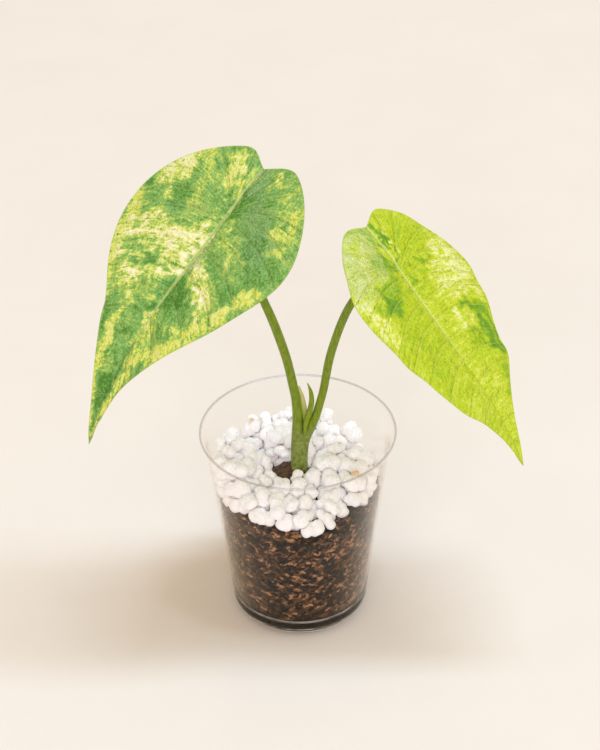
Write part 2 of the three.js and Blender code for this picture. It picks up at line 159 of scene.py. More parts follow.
# Blades. s runs along the midrib from the petiole to the tip, w across it. Margins are smooth
# curves through points (s, w) from the notch to the tip, on the +w side and on the -w side.
BLADE_LEFT = {
    "attach": (-23.6, -14, 189), "heading": -137, "droop": 35.6, "rate": -0.20,
    "growth": 0.0056, "lobe_rate": 0.27, "roll": -1.5, "fold": 10, "curvature": 0.0061,
    "length": 98, "sway": 0.0, "waves": 4.5, "pale_to": 78,
    "margins": {
        1: [(-21, 0), (-24, 15), (-8.5, 33), (13, 40), (33, 33), (51, 21), (72, 7), (88.5, 1.8), (98, 0)],
        -1: [(-21, 0), (-25, -12), (-9.5, -32.5), (12.5, -40), (30, -34.5), (47, -22.5), (58, -16.5),
             (80, -6), (98, 0)],
    },
}
BLADE_RIGHT = {
    "attach": (38, -15, 165), "heading": -40, "droop": 44.3, "rate": -0.22,
    "growth": 0.0043, "lobe_rate": 0.62, "roll": -7, "fold": 7, "curvature": 0.0067,
    "length": 84.5, "sway": -2.4, "waves": 5.5, "pale_to": 52,
    "margins": {
        1: [(-20, 0), (-23.5, 11.5), (-11.5, 23.5), (8, 34), (22, 33), (38.5, 24.5), (48.5, 21),
            (66, 7.6), (84.5, 0)],
        -1: [(-20, 0), (-21, -13.5), (-8.5, -27.5), (7, -32.5), (27, -29), (41, -24.5), (56.5, -17),
             (68.5, -7.2), (84.5, 0)],
    },
}
UP = np.array([0.0, 0.0, 1.0])
MIDRIB_SPAN = (-60, 140)
SWAY_START = 50
BLADE_THICKNESS = 0.5
RIB_DEPTH = 1.0
SIDE_RIB_DEPTH = 0.28
GROOVE_DEPTH = 0.28
QUILT_HEIGHT = 0.42
WAVE_HEIGHT = 0.3
FAN_SHARE = 0.36
VEIN_SPREAD = 1.12
VEIN_BOW = 0.1
MAIN_VEINS = (0.0, 0.09, 0.18, 0.27, 0.345, 0.40, 0.445, 0.495, 0.557, 0.624, 0.695, 0.764,
              0.826, 0.885, 0.94, 1.0)
BLADE_ROWS = 221
BLADE_COLUMNS = 57
# The marbling's noise differs between the halves, because it is taken this far to either side.
HALF_SHIFT = 7
COURSE_SHIFT = 90
COURSE_LENGTH = 130.0

# Markings, drawn as strokes on the flat blade: s and w of both ends, half width, strength
MARKS_LEFT = {
    "cream": [
        (-9, -30, -2, -33, 3.2, 0.95), (-12, -27, -6, -26, 2.2, 0.9), (3, -28, 5, -26, 1.5, 0.9),
        (-18, -10, -12, -8, 2.2, 0.7), (8, -3, 26, -2.5, 2.4, 1.1), (14, -4, 19, -16, 3.2, 0.95),
        (18, -14, 22, -33, 3.6, 0.85), (24, -6, 25, -31, 2.0, 0.9), (27, -3, 36, -16, 2.2, 1.1),
        (35, -14, 38, -20, 2.2, 1.1), (26, -33, 35, -29, 2.4, 1.0), (38, -18, 44, -13, 2.6, 0.75),
        (12, -25, 14, -22, 1.6, 0.8), (10, -38, 22, -35, 1.6, 0.5), (-3, 26, 0, 28, 1.6, 0.95),
        (22, 4, 27, 8, 2.0, 0.9), (26, 8, 33, 17, 3.0, 1.0), (33, 17, 39, 20, 1.3, 0.9),
        (25, 31, 38, 25, 1.5, 0.6), (8, 3, 26, 5, 1.2, 0.45), (56, -12, 66, -9.5, 1.2, 0.3),
        (2, -3, 8, -2, 1.4, 0.7), (45, 1, 52, 0.6, 1.0, 0.75), (-21, 9, -18, 10, 0.8, 0.6),
        (29, -20, 31, -25, 1.2, 0.9), (5, 5, 16, 18, 3.0, 0.42), (30, -9, 41, -7, 1.6, 0.6),
    ],
    "lime": [
        (-19, -10, -9, -8, 3.4, 0.85), (-19, -2, -5, -1.8, 2.0, 1.0), (-12, -20, 2, -15, 3.4, 0.7),
        (-16, -25, -4, -30, 5.5, 0.7), (10, -38, 34, -32, 2.6, 1.25), (36, -30, 48, -22, 1.6, 1.1),
        (12, -8, 26, -30, 8, 0.55), (40, -22, 50, -8, 4.5, 0.6), (52, -12.5, 70, -9, 2.0, 1.3),
        (70, -9, 90, -3, 1.8, 1.4), (60, -5, 70, -4, 1.8, 0.7), (-10, 28, 3, 29, 4.0, 0.95),
        (-20, 9, -17, 12, 1.6, 0.8), (-16, 20, -6, 26, 4.5, 0.45), (23, 34, 40, 25, 2.6, 1.4),
        (40, 24, 60, 12.5, 3.0, 1.55), (44, 15, 50, 10, 3.4, 0.75), (48, 3, 66, 3.5, 3.0, 0.85),
        (60, 7.5, 82, 3, 2.0, 1.45), (82, 2, 94, 0.3, 1.4, 1.1), (44, 12, 58, 8, 4.0, 0.6),
        (18, 2, 30, 8, 3.5, 0.5), (10, 8, 20, 24, 6, 0.40), (46, 0, 60, -1, 1.4, 0.7),
        (3, 3, 6, 6, 1.4, 0.6), (28, 18, 38, 22, 3.0, 0.6),
    ],
    "green": [
        (27, -22, 31, -13, 3.6, 1.0), (-8, -22, 6, -20, 4.0, 0.55), (42, -5, 62, -5, 3.6, 0.85),
        (50, -15, 58, -15, 1.6, 1.0), (62, -3, 88, -1.5, 2.4, 1.0), (32, 4, 44, 13, 4.6, 1.1),
        (46, 7, 52, 9, 2.4, 0.9), (0, 4, 18, 12, 7, 0.5), (8, 22, 26, 30, 7, 0.8),
        (62, 9.5, 88, 2.5, 1.5, 1.0), (-4, -36, 8, -38, 2.2, 0.8), (36, -26, 50, -20, 1.6, 0.55),
        (0, 2, -10, 3, 2.4, 0.9), (42, -15, 50, -18, 2.4, 0.7),
    ],
    # The next strokes mark a painted sheen: a paler grain where the bumpy gloss catches the light.
    "painted_sheen": [(-18, 2, -4, 12, 4.0, 0.8), (10, 2, 26, 2, 2.4, 0.8), (4, -12, 8, -20, 3.5, 0.5),
              (-4, 14, 10, 24, 8.0, 0.6)],
}
MARKS_RIGHT = {
    "cream": [
        (0, 25, 15, 28, 5.5, 0.85), (8, 17, 10, 27, 3.6, 1.0), (14, 15, 18, 27, 3.4, 0.9),
        (24, 12, 30, 10, 3.0, 0.8), (20, 22, 22, 28, 2.4, 0.7), (0, -29, 20, -28, 2.4, 0.75),
        (6, -26, 20, -24, 3.0, 0.55), (-18, 4, -6, 4.2, 0.7, 0.9), (36, 2, 60, 6, 4.5, 0.12),
        (-14, -18, -2, -22, 8.0, 0.45),
    ],
    # The next strokes mark a painted sheen, as on the other leaf.
    "painted_sheen": [(-15, -8, -5, -12, 6.5, 0.85), (-12, -22, -3, -24, 7.0, 1.0), (-19, -3, -19, -14, 3.0, 0.9)],
    "green": [
        (-8, -8, -2, -4, 2.4, 0.9), (-20, -4, -10, -3.2, 1.1, 1.0), (-20, -8, -21, -15, 0.9, 0.9),
        (3, -18, 10, -17, 3.4, 0.95), (8, -20, 2, -7, 2.4, 0.7), (-19, 1.8, -8, 2.6, 1.1, 1.05),
        (24, 19, 29, 24, 3.0, 0.95), (30, 21, 46, 18.6, 1.8, 1.0), (32, 25, 45, 21.5, 1.0, 1.0),
        (34, 12, 37, 15, 2.2, 0.7), (3, 3, 7, 3, 1.2, 0.8), (0, 8, 2, 14, 1.5, 0.65),
        (-2, 1, -3, -3, 1.2, 0.9), (-4, -12, 3, -8, 2.6, 0.6), (52, 17, 60, 11, 1.2, 0.5),
    ],
    "lime": [(12, -12, 35, -14, 7.0, 0.85), (-10, 12, -4, 18, 5.0, 0.8), (30, -20, 44, -18, 5.0, 0.5),
             (42, 10, 50, 14, 3.0, 0.6), (-14, 14, 4, 8, 5.0, 0.5)],
}

# Floor, light and camera. The room's light is warm, and the floor's size and the camera's distance
# are in metres. The focal length is in pixels of the photo, read from the cup's rim, wall and foot.
FLOOR_SIZE = 12.0
ROOM_COLOUR = (1.0, 0.82, 0.565, 1.0)
ROOM_STRENGTH = 0.60
CAMERA_AIM = (1.18, 0, 109)
CAMERA_ELEVATION = 34.32
CAMERA_ROLL = 0.82
CAMERA_DISTANCE = 0.8
FOCAL_PIXELS = 2078
PHOTO_HEIGHT = 750
SENSOR_HEIGHT = 36.0


# Small helpers for shapes
def through(knots, t):
    """Points of a smooth curve through the knots, at shares t of the way along."""
    knots = np.asarray(knots, float)
    padded = np.vstack([2 * knots[0] - knots[1], knots, 2 * knots[-1] - knots[-2]])
    place = np.clip(np.asarray(t, float), 0, 1) * (len(knots) - 1)
    i = np.minimum(place.astype(int), len(knots) - 2)
    f = (place - i)[..., None]
    a, b, c, d = padded[i], padded[i + 1], padded[i + 2], padded[i + 3]
    return 0.5 * (2 * b + (c - a) * f + (2 * a - 5 * b + 4 * c - d) * f**2
                  + (3 * b - a - 3 * c + d) * f**3)


def unit(vectors):
    return vectors / np.maximum(np.linalg.norm(vectors, axis=-1, keepdims=True), 1e-9)


def smooth_step(low, high, value):
    t = np.clip((value - low) / (high - low), 0, 1)
    return t * t * (3 - 2 * t)


def ripple(points, size, seed, waves=9):
    """A soft random field, mostly from -1 to 1, with hills about one size across."""
    rng = np.random.default_rng(seed)
    total = np.zeros(points.shape[:-1])
    for _ in range(waves):
        direction = unit(rng.normal(size=points.shape[-1]))
        pitch = 2 * math.pi / (size * rng.uniform(1.4, 2.6))
        total += np.sin(points @ direction * pitch + rng.uniform(0, 2 * math.pi))
    return total / math.sqrt(waves)


def grid_faces(rows, columns, closed=False):
    """Quads over a grid of points in row order. A closed grid joins its last column to its first."""
    i, j = np.meshgrid(np.arange(rows - 1), np.arange(columns if closed else columns - 1), indexing="ij")
    a = (i * columns + j).ravel()
    b = (i * columns + (j + 1) % columns).ravel()
    return np.stack([a, b, b + columns, a + columns], axis=1)


def cap_faces(ring, middle):
    """Triangles from a ring of points to a middle point."""
    after = np.roll(ring, -1)
    hub = np.full(len(ring), middle)
    return np.stack([ring, after, hub, hub], axis=1)


def sheet_faces(rows, columns, border):
    """Faces of a thin sheet, from the points of its front and then of its back. A strip joins the
    two along the border."""
    count = rows * columns
    quads = grid_faces(rows, columns)
    a, b = border[:-1], border[1:]
    strip = np.stack([a, a + count, b + count, b], axis=1)
    return np.vstack([quads, quads[:, ::-1] + count, strip])


def volume(points, faces):
    """Six times the volume inside the faces. It is below zero where they point inwards."""
    total = 0.0
    for k in range(1, faces.shape[1] - 1):
        a, b, c = points[faces[:, 0]], points[faces[:, k]], points[faces[:, k + 1]]
        total += np.einsum("ij,ij->", a, np.cross(b, c))
    return total


def gather(parts):
    """Joins parts, each points, faces and fields, into one set of arrays. A part's faces that
    point inwards are turned round."""
    points, faces, fields, start = [], [], {}, 0
    for part_points, part_faces, part_fields in parts:
        if volume(part_points, part_faces) < 0:
            part_faces = part_faces[:, ::-1]
        points.append(part_points)
        faces.append(part_faces + start)
        start += len(part_points)
        for name, value in part_fields.items():
            value = np.asarray(value, float)
            spread = value if len(value.shape) and len(value) == len(part_points) else np.broadcast_to(
                value, (len(part_points), *value.shape))
            fields.setdefault(name, []).append(spread)
    width = max(block.shape[1] for block in faces)
    faces = [np.hstack([block, block[:, -1:]]) if block.shape[1] < width else block for block in faces]
    return (np.vstack(points), np.vstack(faces),
            {name: np.concatenate(values) for name, values in fields.items()})


def make_piece(name, parts, material, slot, *replaced, sharp):
    """A piece from parts in millimetres. Points in one place are welded."""
    points, faces, fields = gather(parts)
    _, first, back = np.unique(np.round(points, 4), axis=0, return_index=True, return_inverse=True)
    corners = back.ravel()[faces].tolist()
    kept = []
    for face in corners:
        face = [corner for k, corner in enumerate(face) if corner != face[k - 1]]
        if len(set(face)) > 2:
            kept.append(face)
    mesh = bpy.data.meshes.new(name)
    mesh.from_pydata((points[first] * MM).tolist(), [], kept)
    for field, values in fields.items():
        values = values[first]
        vector = values.ndim == 2
        layer = mesh.attributes.new(field, "FLOAT_VECTOR" if vector else "FLOAT", "POINT")
        layer.data.foreach_set("vector" if vector else "value", values.ravel())
    mesh.validate()
    mesh.shade_smooth()
    mesh.set_sharp_from_angle(angle=math.radians(sharp))
    mesh.materials.append(material)
    piece = bpy.data.objects.new(name, mesh)
    bpy.context.scene.collection.objects.link(piece)
    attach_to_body(piece, "root")
    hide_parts(*replaced)


def sweep(knots, rings, sides, shape=None):
    """A stem through knots x, y, z, radius, closed at both ends. shape gives factors for the
    radius from the share of the way along and the angle. Returns points, faces and shares."""
    t = np.linspace(0, 1, rings)
    line = through(knots, t)
    tangent = unit(np.gradient(line[:, :3], axis=0))
    across = unit(np.cross([0, 1, 0], tangent))
    along = np.cross(tangent, across)
    share, angle = np.meshgrid(t, np.arange(sides) * 2 * math.pi / sides, indexing="ij")
    radius = line[:, 3:4] * (np.ones_like(share) if shape is None else shape(share, angle))
    points = (line[:, None, :3] + across[:, None] * (radius * np.cos(angle))[..., None]
              + along[:, None] * (radius * np.sin(angle))[..., None])
    count = rings * sides
    points = np.vstack([points.reshape(-1, 3), line[:1, :3], line[-1:, :3]])
    foot, head = np.arange(sides), np.arange(count - sides, count)
    faces = np.vstack([grid_faces(rings, sides, closed=True), cap_faces(foot[::-1], count),
                       cap_faces(head, count + 1)])
    return points, faces, np.concatenate([share.ravel(), [0, 1]])


def lathe(profile, sides, shape=None):
    """A turned body from a profile of radius and height, which is closed or starts and ends on
    the axis."""
    profile = np.asarray(profile, float)
    angle = np.arange(sides) * 2 * math.pi / sides
    radius, turn = np.meshgrid(profile[:, 0], angle, indexing="ij")
    height = np.broadcast_to(profile[:, 1:], radius.shape)
    if shape is not None:
        radius, height = shape(radius, height, turn)
    points = np.stack([radius * np.cos(turn), radius * np.sin(turn), height], axis=-1).reshape(-1, 3)
    return points, grid_faces(len(profile), sides, closed=True)


def ball(levels):
    """Directions and triangles of an even ball."""
    shape = bmesh.new()
    bmesh.ops.create_icosphere(shape, subdivisions=levels, radius=1)
    directions = np.array([vertex.co for vertex in shape.verts])
    triangles = np.array([[vertex.index for vertex in face.verts] for face in shape.faces])
    shape.free()
    return directions, triangles


def random_turn(rng):
    turn, _ = np.linalg.qr(rng.normal(size=(3, 3)))
    return turn * np.sign(np.linalg.det(turn))


# Materials: numbers that run through a node tree are written as sums and products
class Value:
    """A number, colour or vector in a material. Numbers take + - * and **."""

    def __init__(self, paint, socket):
        self.paint = paint
        self.socket = socket

    def join(self, operation, first, second):
        return self.paint.node("ShaderNodeMath", {"operation": operation}, {0: first, 1: second})

    def __add__(self, other):
        return self.join("ADD", self, other)

    def __radd__(self, other):
        return self.join("ADD", other, self)

    def __sub__(self, other):
        return self.join("SUBTRACT", self, other)

    def __rsub__(self, other):
        return self.join("SUBTRACT", other, self)

    def __mul__(self, other):
        return self.join("MULTIPLY", self, other)

    def __rmul__(self, other):
        return self.join("MULTIPLY", other, self)

    def __pow__(self, other):
        return self.join("POWER", self, other)


class Paint:
    """One material and the nodes in it. Lengths are in millimetres."""

    def __init__(self, name):
        self.material = bpy.data.materials.new(name)
        self.material.use_nodes = True
        self.tree = self.material.node_tree
        self.tree.nodes.clear()

    def node(self, kind, settings=None, inputs=None, output=0):
        """Adds a node: first its settings, then values or links for its sockets."""
        node = self.tree.nodes.new(kind)
        for key, value in (settings or {}).items():
            setattr(node, key, value)
        for key, value in (inputs or {}).items():
            if isinstance(value, Value):
                self.tree.links.new(value.socket, node.inputs[key])
            else:
                node.inputs[key].default_value = value
        return Value(self, node.outputs[output]) if node.outputs else None

    def place(self):
        """The place on the object itself."""
        metres = self.node("ShaderNodeTexCoord", output=3)
        return self.scaled(metres, (1 / MM, 1 / MM, 1 / MM))

    def vector(self, operation, first, second):
        return self.node("ShaderNodeVectorMath", {"operation": operation}, {0: first, 1: second})

    def scaled(self, vector, factors):
        return self.vector("MULTIPLY", vector, factors)

    def field(self, name):
        """A number that the mesh holds at each point."""
        return self.node("ShaderNodeAttribute", {"attribute_name": name}, output=2)

    def course(self, name):
        """A place that the mesh holds at each point."""
        return self.node("ShaderNodeAttribute", {"attribute_name": name}, output=1)

    def noise(self, where, size, detail=3.0, roughness=0.55, distortion=0.0):
        """Soft noise around a half, with grains about one size across."""
        return self.node("ShaderNodeTexNoise", None, {
            "Vector": where, "Scale": 1 / size, "Detail": detail,
            "Roughness": roughness, "Distortion": distortion})

    def cells(self, where, size, feature="F1", output=0):
        return self.node("ShaderNodeTexVoronoi", {"feature": feature},
                         {"Vector": where, "Scale": 1 / size}, output)

    def warped(self, where, size, amount):
        """A place moved about by soft noise, so that what is drawn there curls."""
        push = self.node("ShaderNodeTexNoise", None, {"Vector": where, "Scale": 1 / size}, output=1)
        push = self.vector("SUBTRACT", push, (0.5, 0.5, 0.5))
        return self.vector("ADD", where, self.scaled(push, (amount, amount, amount)))

    def only(self, operation, value):
        return self.node("ShaderNodeMath", {"operation": operation}, {0: value})

    def step(self, value, low, high):
        """0 below low, 1 above high, and smooth between."""
        return self.node("ShaderNodeMapRange", {"interpolation_type": "SMOOTHSTEP"},
                         {"Value": value, "From Min": low, "From Max": high})

    def mix(self, share, first, second):
        return self.node("ShaderNodeMix", {"data_type": "RGBA"}, {0: share, 6: first, 7: second},
                         output=2)

    def fade(self, value, low, high, first, second):
        """The first colour where the value is low, the second where it is high."""
        return self.mix(self.step(value, low, high), first, second)

    def ramp(self, value, stops):
        """A colour that runs smoothly through the stops, each a value, red, green and blue."""
        colour = tone(*stops[0][1:])
        for (low, *_), (high, *above) in zip(stops, stops[1:]):
            colour = self.fade(value, low, high, colour, tone(*above))
        return colour

    def bump(self, height, depth, under=None):
        """A relief of that depth, over another one if there is one under it."""
        inputs = {"Strength": 1.0, "Distance": depth * MM, "Height": height}
        if under is not None:
            inputs["Normal"] = under
        return self.node("ShaderNodeBump", None, inputs)

    def clear(self, tint):
        return self.node("ShaderNodeBsdfTransparent", None, {"Color": tint})

    def skin(self, inputs):
        return self.node("ShaderNodeBsdfPrincipled", None, inputs)

    def blend(self, share, first, second):
        return self.node("ShaderNodeMixShader", None, {0: share, 1: first, 2: second})

    def done(self, shader):
        self.node("ShaderNodeOutputMaterial", None, {"Surface": shader})
        return self.material


def tone(red, green, blue):
    """A colour from its red, green and blue out of 255, as seen on a screen."""
    def linear(value):
        share = value / 255
        return share / 12.92 if share <= 0.04045 else ((share + 0.055) / 1.055) ** 2.4
    return (linear(red), linear(green), linear(blue), 1.0)


def lamps_through(paint, body):
    """Lets the lamps' light through a clear body, so that it reaches what is behind."""
    shadow = paint.node("ShaderNodeLightPath", output=1)
    return paint.done(paint.blend(shadow, body, paint.clear(tone(254, 253, 252))))


def clear_film(name, tint, shine, head_on, turned, rough):
    """Thin clear plastic: the share of gloss on it head on, and how much more where it turns away."""
    paint = Paint(name)
    scuffs = paint.noise(paint.scaled(paint.place(), (1, 1, 0.25)), 0.8, 2)
    facing = paint.node("ShaderNodeLayerWeight", None, {"Blend": 0.5}, output=1)
    gloss = paint.skin({
        "Base Color": shine, "Metallic": 1.0,
        "Roughness": paint.step(scuffs, 0.55, 0.85) * 0.1 + rough})
    return lamps_through(paint, paint.blend(facing**4 * turned + head_on, paint.clear(tint), gloss))


def clear_foot():
    """The thick foot, which bends what is seen through it."""
    paint = Paint("clear_foot")
    fine = paint.noise(paint.place(), 6, 2)
    return lamps_through(paint, paint.skin({
        "Base Color": tone(252, 249, 240), "Roughness": 0.02, "IOR": 1.45,
        "Specular Tint": (0.4, 0.4, 0.4, 1.0), "Transmission Weight": 1.0,
        "Normal": paint.bump(fine, 0.03)}))


def painted_glint_ring():
    """Painted glints: pale, partly clear rings at the foot, in place of the light that runs through the
    plastic and comes out at its edges.
    """
    paint = Paint("painted_glint_ring")
    cloud = paint.step(paint.noise(paint.place(), 7, 2), 0.3, 0.7)
    pale = paint.skin({
        "Base Color": paint.mix(cloud, tone(196, 194, 170), tone(236, 232, 214)), "Roughness": 0.3})
    return lamps_through(paint, paint.blend(cloud * 0.3 + 0.1, paint.clear(tone(252, 251, 248)), pale))


def bark_mix():
    """Dark bark with mottles and curled flecks of lighter coir all over."""
    paint = Paint("bark_mix")
    place = paint.place()
    bent = paint.warped(place, 2.2, 3.6)
    # A Math node turns each cell's random colour grey, which gives one number for the fleck.
    fleck = paint.only("ABSOLUTE", paint.cells(paint.scaled(bent, (1, 1, 1.5)), 2.3, output=1))
    fibre = paint.noise(place, 0.45, 3, 0.6)
    patch = paint.noise(place, 2.4, 3, 0.6)
    pick = fleck * 0.62 + paint.field("tone") * 0.3 + (patch - 0.5) * 0.5 + (fibre - 0.5) * 0.35
    dark = paint.fade(patch, 0.35, 0.65, tone(21, 14, 7), tone(42, 30, 17))
    brown = paint.fade(fibre, 0.35, 0.65, tone(86, 58, 36), tone(124, 86, 55))
    tan = paint.fade(fibre, 0.32, 0.62, tone(156, 108, 68), tone(216, 164, 116))
    colour = paint.fade(pick, 0.38, 0.5, dark, brown)
    colour = paint.fade(pick, 0.58, 0.68, colour, tan)
    rough = paint.step(fibre, 0.3, 0.7) * 0.3 + 0.42
    relief = paint.bump(fibre, 0.3, paint.bump(pick, 0.5))
    return paint.done(paint.skin({
        "Base Color": colour, "Roughness": rough, "Specular IOR Level": 0.25, "Normal": relief}))


def perlite_grain():
    """Chalky white grains with a faint painted glow, and painted shade, warm brown, in the gaps where they
    touch. The specks on top are tan.
    """
    paint = Paint("perlite_grain")
    place = paint.place()
    kind, gap = paint.field("tone"), paint.field("gap")
    chalk = paint.noise(place, 1.1, 4, 0.6)
    dust = paint.noise(place, 2.6, 3, 0.7)
    white = paint.fade(chalk, 0.35, 0.7, tone(253, 252, 252), tone(255, 255, 255))
    colour = paint.fade(kind, 0.0, 0.4, tone(250, 248, 246), white)
    colour = paint.mix(paint.step(dust, 0.66, 0.76) * 0.3, colour, tone(206, 190, 172))
    # Painted shade: warm brown darkening where a grain comes near its neighbours, broken up by the chalk
    # noise.
    painted_light_level = gap + (chalk - 0.5) * 1.5
    colour = paint.mix(paint.step(painted_light_level, 1.8, 0.2) * 0.2, colour, tone(236, 212, 186))
    colour = paint.mix(paint.step(painted_light_level, 0.55, -0.45) * 0.8, colour, tone(140, 114, 90))
    colour = paint.fade(kind, 0.985, 0.99, colour, tone(226, 190, 128))
    pores = paint.step(paint.cells(place, 0.5), 0.1, 0.5)
    # The emission is a painted glow that brightens the grains; it dims to dark brown, painted shade, in
    # the gaps.
    return paint.done(paint.skin({
        "Base Color": colour, "Roughness": 0.88, "Specular IOR Level": 0.3,
        "Emission Color": paint.fade(gap, -0.5, 1.2, tone(48, 40, 30), tone(250, 248, 254)),
        "Emission Strength": 0.15, "Normal": paint.bump(pores, 0.12, paint.bump(chalk, 0.6))}))


def corm_skin():
    paint = Paint("corm_skin")
    place = paint.place()
    fibre = paint.noise(paint.scaled(place, (3, 3, 0.8)), 1.2, 4, 0.65)
    dirt = paint.noise(place, 2.6, 3)
    colour = paint.fade(fibre, 0.35, 0.68, tone(80, 58, 42), tone(138, 110, 84))
    colour = paint.mix(paint.step(dirt, 0.5, 0.65) * 0.7, colour, tone(48, 36, 27))
    return paint.done(paint.skin({
        "Base Color": colour, "Roughness": 0.85, "Normal": paint.bump(fibre, 0.6)}))


def petiole_skin():
    """Olive green, paler and mottled towards the foot, and earthy where it stands in the mix."""
    paint = Paint("petiole_skin")
    place = paint.place()
    height = paint.field("height")
    streak = paint.noise(paint.scaled(place, (2.2, 2.2, 0.22)), 1.0, 3)
    mottle = paint.noise(paint.scaled(place, (1, 1, 0.7)), 1.2, 3)
    upper = paint.fade(streak, 0.35, 0.65, tone(106, 130, 10), tone(134, 153, 30))
    lower = paint.fade(mottle, 0.35, 0.65, tone(110, 129, 46), tone(143, 157, 80))
    colour = paint.fade(height, 90, 78, upper, lower)
    foot = paint.fade(mottle, 0.3, 0.7, tone(92, 78, 34), tone(140, 132, 62))
    colour = paint.fade(height + (mottle - 0.5) * 6, 67.0, 63.5, colour, foot)
    rough = paint.step(mottle, 0.3, 0.7) * 0.12 + 0.36
    return paint.done(paint.skin({
        "Base Color": colour, "Roughness": rough, "Specular IOR Level": 0.3, "Subsurface Weight": 0.15,
        "Subsurface Radius": (0.6, 0.9, 0.3), "Subsurface Scale": 1.2 * MM,
        "Normal": paint.bump(streak, 0.15)}))


def sheath_skin():
    paint = Paint("sheath_skin")
    streak = paint.noise(paint.scaled(paint.place(), (3, 3, 0.35)), 0.9, 3)
    green = paint.fade(streak, 0.3, 0.7, tone(150, 166, 52), tone(178, 188, 84))
    cream = paint.fade(streak, 0.3, 0.7, tone(222, 220, 150), tone(206, 206, 122))
    colour = paint.fade(paint.field("out"), 0.45, 0.8, green, cream)
    return paint.done(paint.skin({
        "Base Color": colour, "Roughness": 0.5, "Normal": paint.bump(streak, 0.2)}))


def young_leaf():
    paint = Paint("young_leaf")
    streak = paint.noise(paint.scaled(paint.place(), (2.5, 2.5, 0.3)), 0.9, 3)
    colour = paint.fade(streak, 0.35, 0.65, tone(112, 138, 10), tone(140, 160, 34))
    return paint.done(paint.skin({
        "Base Color": colour, "Roughness": 0.38, "Specular IOR Level": 0.3,
        "Normal": paint.bump(streak, 0.15)}))


class Marbling:
    """What both leaf materials share: streaks along the veins, flecks, veins, margin, underside and a
    painted sheen.
    """

    def __init__(self, paint):
        self.paint = paint
        self.flat = paint.course("flat")
        course = paint.scaled(paint.course("course"), (0.24, 1, 1))
        self.streak = paint.noise(course, 1.3, 4, 0.6, 0.8)
        self.fleck = paint.noise(self.flat, 0.95, 3, 0.7)
        self.patch = paint.noise(self.flat, 4.5, 3, 0.6, 0.6)
        self.grain = paint.noise(self.flat, 0.42, 2, 0.6)
        turn = paint.field("phase")
        self.vein = paint.only("ABSOLUTE", turn - paint.only("ROUND", turn)) * paint.field("gap")
        web = paint.cells(paint.warped(self.flat, 1.8, 1.6), 1.7, "DISTANCE_TO_EDGE")
        self.net = paint.step(web, 0.24, 0.06) * paint.step(self.fleck, 0.42, 0.6)

    def painted_sheen_share(self, streak, fleck, soft):
        """Where the painted sheen shows, broken up along the veins and by flecks."""
        painted_light_level = (self.paint.field("painted_sheen") + (self.streak - 0.5) * streak + (self.fleck - 0.5) * fleck
                + (self.patch - 0.5) * 0.8)
        return self.paint.step(painted_light_level, 0.5 - soft, 0.5 + soft)

    def level(self, base, gains, even, lively):
        """How pale the leaf is: each marking's gain, more and more broken up where it is strong."""
        noise = ((self.patch - 0.5) * 1.1 + (self.streak - 0.5) * 1.9 + (self.fleck - 0.5) * 0.9
                 + (self.grain - 0.5) * 0.4)
        cover = 0.0
        for name, gain in gains.items():
            cover = self.paint.field(name) * gain + cover
        return cover * (noise * lively + 1.0) + noise * even + base

    def relief(self):
        """Sunk veins, fine quilting between them and a grain over both."""
        paint = self.paint
        sunk = paint.bump(paint.step(self.vein, 0.0, 1.3), 0.3)
        web = paint.cells(self.flat, 1.5, "DISTANCE_TO_EDGE")
        quilted = paint.bump(paint.step(web, 0.0, 0.4), 0.2, sunk)
        return paint.bump(self.grain, 0.16, quilted)

    def coat(self, colour, veins, midrib, margin, underside):
        """The finished leaf from its marbling. The rest are each a share and its colour."""
        paint = self.paint
        for cover, (share, tint) in ((paint.step(self.vein, 0.42, 0.08), veins),
                                     (paint.step(paint.field("middle"), 1.0, 0.45), midrib),
                                     (paint.step(paint.field("edge"), 0.75, 0.25), margin)):
            colour = paint.mix(cover * share, colour, tint)
        share, tint = underside
        colour = paint.fade(paint.field("under"), 0.3, 0.7, colour, paint.mix(share, colour, tint))
        rough = paint.step(self.grain, 0.35, 0.65) * 0.18 + 0.34
        return paint.done(paint.skin({
            "Base Color": colour, "Roughness": rough, "Specular IOR Level": 0.35,
            "Normal": self.relief()}))


GREEN_STOPS = ((-0.1, 76, 132, 40), (0.1, 112, 165, 71), (0.26, 137, 183, 96), (0.42, 158, 195, 90),
               (0.56, 192, 211, 80), (0.74, 222, 228, 112), (0.92, 238, 236, 160),
               (1.15, 252, 246, 206))
LIME_STOPS = ((-0.15, 64, 130, 36), (0.08, 120, 168, 30), (0.28, 162, 195, 18), (0.46, 191, 211, 24),
              (0.64, 206, 220, 58), (0.82, 226, 234, 104), (1.0, 243, 245, 176))


def green_marbled_leaf():
    paint = Paint("green_marbled_leaf")
    leaf = Marbling(paint)
    gains = {"cream": 0.58, "lime": 0.4, "green": -0.26}
    level = leaf.level(0.15, gains, even=0.5, lively=1.6) + leaf.net * 0.2
    limed = paint.step(level, 0.36, 0.7) * paint.step(paint.field("lime"), 0.35, 1.0)
    lime = paint.fade(leaf.fleck, 0.4, 0.6, tone(200, 216, 66), tone(230, 234, 104))
    colour = paint.mix(limed * 0.75, paint.ramp(level, GREEN_STOPS), lime)
    # A painted sheen: pale grey-green grain where the bumpy gloss catches the light.
    painted_sheen = paint.fade(leaf.grain, 0.46, 0.62, tone(112, 156, 88), tone(172, 200, 152))
    colour = paint.mix(leaf.painted_sheen_share(streak=0.8, fleck=1.4, soft=0.25) * 0.5, colour, painted_sheen)
    return leaf.coat(colour, veins=(0.14, tone(190, 206, 120)), midrib=(0.75, tone(206, 220, 134)),
                     margin=(0.35, tone(176, 200, 84)), underside=(0.45, tone(168, 194, 128)))


